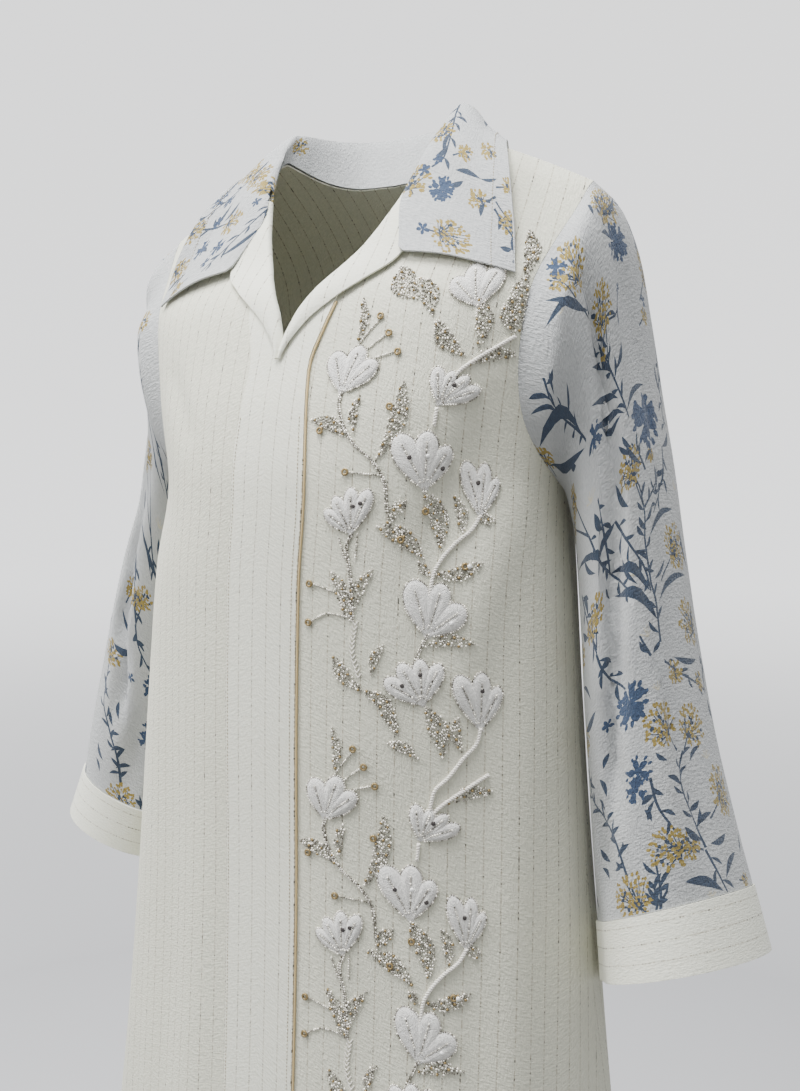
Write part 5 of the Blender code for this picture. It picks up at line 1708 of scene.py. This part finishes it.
def ringPart(name, radius, wire, sides, ringSides):
    turn = np.linspace(0, 2 * np.pi, sides + 1)[:-1, None]
    around = np.linspace(0, 2 * np.pi, ringSides + 1)[:-1]
    reach = radius + wire * np.cos(around)
    high = wire * np.sin(around) * np.ones((sides, 1))
    points = np.stack([reach * np.cos(turn), reach * np.sin(turn), high], -1).reshape(-1, 3)
    faces = []
    for i in range(sides):
        for j in range(ringSides):
            k, m = (i + 1) % sides, (j + 1) % ringSides
            faces.append((i * ringSides + j, k * ringSides + j, k * ringSides + m, i * ringSides + m))
    mesh = bpy.data.meshes.new(name)
    mesh.from_pydata([tuple(p) for p in points], [], faces)
    return bpy.data.objects.new(name, mesh)


parts = {
    "bead": roundPart("bead", embroidery["beadRadius"] * millimetre, 1),
    "sequins": roundPart("sequin", 1.7 * millimetre, 2, (1, 1, 0.4)),
    "crystals": roundPart("crystal", 1.9 * millimetre, 1, (1, 1, 0.6)),
    "rings": ringPart("ring", 1.9 * millimetre, 0.85 * millimetre, 14, 8),
}
embroideries = [stitchRepeat(number, parts) for number in range(embroidery["repeats"])]
for piece in embroideries:
    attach(piece, "root")
    print(piece.name, "triangles", sum(len(face.vertices) - 2 for face in piece.data.polygons))
print("embroidery made")

# Machine stitching along the edges
stitching = {
    "spacing": 2.7,
    "length": 2.0,
    "radius": 0.36,
    "lift": 0.15,
    "placketInset": (2.2, 4.0),
    "placketRow": 10,
    "collarInset": 6,
    "cuffRow": 10,
    "hemHeight": -1.375,
    "hemReach": 0.99,
    "hemPoints": 240,
}


def placketLine(side, inset):
    # down one edge of the placket, below its arms
    rows = [n for n in rowNumbers(-1) if n >= stitching["placketRow"]]
    ends = through(panelEnds(-1), rows)
    x = side * (ends[:, 0] + ends[:, 2] - inset * millimetre)
    z = ends[:, 1]
    above = body["seamGap"] + body["bandWall"] + stitching["lift"] * millimetre
    return bodyAt(x, z, -1) + bodyNormal(x, z, -1) * above


def aboveGrid(points, row, column, lift):
    # a row or a column of a grid, lifted off its outer face
    normals = gridNormals(points)
    normals *= np.sign((normals * (points - points.mean(axis=(0, 1)))).sum())
    line, normal = (points[row], normals[row]) if column is None else (points[:, column], normals[:, column])
    return line + normal * lift * millimetre


def hemLine(side):
    share = np.linspace(-stitching["hemReach"], stitching["hemReach"], stitching["hemPoints"])
    x = share * through(body["sections"], stitching["hemHeight"])[0]
    z = np.full_like(x, stitching["hemHeight"])
    return bodyAt(x, z, side) + bodyNormal(x, z, side) * stitching["lift"] * millimetre


# one thread stitch, lying along z
longways = stitching["length"] / stitching["radius"] / 2
stitch = roundPart("stitch", stitching["radius"] * millimetre, 1, (1, 1, longways))
cuffLine = aboveGrid(leftCuffPoints, stitching["cuffRow"], None, stitching["lift"])
collarLine = aboveGrid(collarPoints, 0, -1 - stitching["collarInset"], stitching["lift"])
placketLines = [placketLine(side, inset) for side, inset in zip((-1, 1), stitching["placketInset"])]
stitchRows = {
    "placketStitches": (placketLines, "cream_cloth"),
    "cuffLeftStitches": ([cuffLine], "cream_cloth"),
    "cuffRightStitches": ([mirrored(cuffLine)], "cream_cloth"),
    "collarStitches": ([collarLine], "printed_cloth"),
    "hemStitches": ([hemLine(-1), hemLine(1)], "cream_cloth"),
}
stitches = {}
spacing, sizes = stitching["spacing"] * millimetre, (0.9, 1.1)
for name, (paths, slot) in stitchRows.items():
    stitches[name] = alongPaths(name, paths, stitch, spacing, sizes, 3, sewingThreadPaintedShadow)
    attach(stitches[name], "root")
print("stitching made")

# What each cloth piece stands for
cloths = (
    # piece, node, slot, flat width and length, flat area of the cut, how it is held, pieces on it
    (frontRight, "front_right", "cream_cloth", (0.335, 1.40), 0.397, "hung", []),
    (frontLeft, "front_left", "cream_cloth", (0.335, 1.40), 0.398, "hung", embroideries),
    (backCloth, "back", "cream_cloth", (0.670, 1.40), 0.797, "hung", [stitches["hemStitches"]]),
    (placket, "placket", "cream_cloth", (0.064, 1.29), None, "hung",
     [placketPiping, stitches["placketStitches"]]),
    (lapelRight, "lapel_right", "cream_cloth", (0.060, 0.140), 0.0062, "folded", []),
    (lapelLeft, "lapel_left", "cream_cloth", (0.060, 0.140), 0.0062, "folded", []),
    (collarCloth, "collar", "printed_cloth", (0.150, 0.660), 0.0517, "folded", [stitches["collarStitches"]]),
    (sleeveRight, "sleeve_right", "printed_cloth", (0.430, 0.510), 0.158, "hung", []),
    (sleeveLeft, "sleeve_left", "printed_cloth", (0.430, 0.510), 0.158, "hung", []),
    (cuffRight, "cuff_right", "cream_cloth", (0.440, 0.046), 0.0188, "hung", [stitches["cuffRightStitches"]]),
    (cuffLeft, "cuff_left", "cream_cloth", (0.440, 0.046), 0.0188, "hung", [stitches["cuffLeftStitches"]]),
)
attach(placketPiping, "root")
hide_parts("placket_piping")
for piece, node, slot, flat, area, held, onIt in cloths:
    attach(piece, "root")
    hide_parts(node)
    measured = sum(face.area for face in piece.data.polygons) / 2
    triangles = sum(len(face.vertices) - 2 for face in piece.data.polygons)
    print(node, "area", round(measured, 4), "triangles", triangles)

# Floor, light and camera
studio = {
    # profile of the pale sweep, floor to wall: distance from the middle and height
    "sweep": (
        (0.02, -1.45), (6.0, -1.45), (7.5, -1.30), (9.0, -0.85), (10.4, 0.05), (11.4, 1.5), (11.9, 3.2),
        (12.0, 5.0),
    ),
    "dome": ((12.0, 5.5), (11.0, 9.0), (8.0, 11.5), (4.0, 12.7), (0.02, 13.0)),
    "sweepColor": "#CACACC",
    "glowFrom": 2.3,
    "glowTo": 8.0,
    "glow": 1.35,
    "glowPower": 0.75,
    "sweepRows": 60,
    "sweepSides": 96,
    # light of the air straight down, level and straight up
    "air": (("#B9B6B0", 0.0), ("#CFD1D3", 0.5), ("#F4F7FB", 1.0)),
    "airStrength": 0.89,
    # name, power in watts, size in metres, place, aim
    "lamps": (
        ("key", 82.0, 0.9, (-1.9, -1.5, 1.2), (0.0, 0.0, -0.45)),
        ("top", 122.0, 1.1, (-0.1, -0.6, 1.8), (0.05, 0.0, -0.1)),
    ),
    "camera": {
        "turn": 0.545,
        "distance": 0.85,
        "shift": 0.0275,
        "height": -0.245,
        "pitch": -0.078,
        "roll": 0.005,
        "focal": 1050,
        "imageHeight": 1091,
    },
}


def addSweep():
    # pale floor that rises into a wall all round and glows a little more farther out
    settings = {"Base Color": hexColor(studio["sweepColor"]), "Roughness": 0.95, "Specular IOR Level": 0.0}
    material, tree, shader = newMaterial("studioSweep", settings)
    place = addNode(tree, "ShaderNodeTexCoord")
    settings = {"operation": "LENGTH"}
    reach = addNode(tree, "ShaderNodeVectorMath", settings, {0: place.outputs["Object"]})
    settings = {1: studio["glowFrom"], 2: studio["glowTo"]}
    rise = addNode(tree, "ShaderNodeMapRange", settings, {0: reach.outputs["Value"]})
    early = addNode(tree, "ShaderNodeMath", {"operation": "POWER", 1: studio["glowPower"]}, {0: rise})
    glow = addNode(tree, "ShaderNodeMath", {"operation": "MULTIPLY", 1: studio["glow"]}, {0: early})
    tree.links.new(glow.outputs[0], shader.inputs["Emission Strength"])
    radii = np.linspace(studio["sweep"][0][0], studio["sweep"][-1][0], studio["sweepRows"])
    rows = [*zip(radii, through(studio["sweep"], radii)[:, 0]), *studio["dome"]]
    angle = np.linspace(0, 2 * np.pi, studio["sweepSides"] + 1)
    grid = np.array([[(r * math.cos(a), r * math.sin(a), z) for a in angle] for r, z in rows])
    sweep = closedTube("studioSweep", grid, np.zeros((*grid.shape[:2], 2)), material, False)
    # seen behind, while the lamps and the air light the cloth
    sweep.visible_diffuse = False
    sweep.visible_shadow = False


def addLight():
    world = bpy.data.worlds.new("studioAir")
    world.use_nodes = True
    tree = world.node_tree
    air = tree.nodes["Background"]
    air.inputs["Strength"].default_value = studio["airStrength"]
    way = addNode(tree, "ShaderNodeTexCoord")
    split = addNode(tree, "ShaderNodeSeparateXYZ", None, {0: way.outputs["Generated"]})
    rise = addNode(tree, "ShaderNodeMapRange", {1: -1.0, 2: 1.0, 3: 0.0, 4: 1.0}, {0: split.outputs[2]})
    ramp = addNode(tree, "ShaderNodeValToRGB", None, {0: rise})
    stops = ramp.color_ramp.elements
    stops.new(0.5)
    for stop, (color, at) in zip(stops, studio["air"]):
        stop.position = at
        stop.color = hexColor(color)
    tree.links.new(ramp.outputs[0], air.inputs["Color"])
    bpy.context.scene.world = world
    for name, power, size, place, aim in studio["lamps"]:
        light = bpy.data.lights.new(name, "AREA")
        light.energy = power
        light.shape = "SQUARE"
        light.size = size
        lamp = placeObject(name, light)
        lamp.location = place
        lamp.rotation_euler = (Vector(aim) - Vector(place)).to_track_quat("-Z", "Y").to_euler()


def addCamera():
    view = studio["camera"]
    turn = view["turn"]
    toward = Vector((math.sin(turn), -math.cos(turn), 0))
    forward = -toward * math.cos(view["pitch"]) + Vector((0, 0, math.sin(view["pitch"])))
    right = forward.cross(Vector((0, 0, 1))).normalized()
    up = right.cross(forward)
    c, s = math.cos(view["roll"]), math.sin(view["roll"])
    right, up = right * c + up * s, up * c - right * s
    place = toward * view["distance"] + Vector((math.cos(turn), math.sin(turn), 0)) * view["shift"]
    place.z = view["height"]
    lens = bpy.data.cameras.new("camera")
    lens.sensor_fit = "AUTO"
    lens.sensor_width = 36
    lens.lens = lens.sensor_width * view["focal"] / view["imageHeight"]
    lens.clip_start = 0.01
    lens.clip_end = 200
    camera = placeObject("camera", lens)
    rows = [(right[k], up[k], -forward[k], place[k]) for k in range(3)]
    camera.matrix_world = Matrix((*rows, (0, 0, 0, 1)))
    bpy.context.scene.camera = camera


addSweep()
addLight()
addCamera()
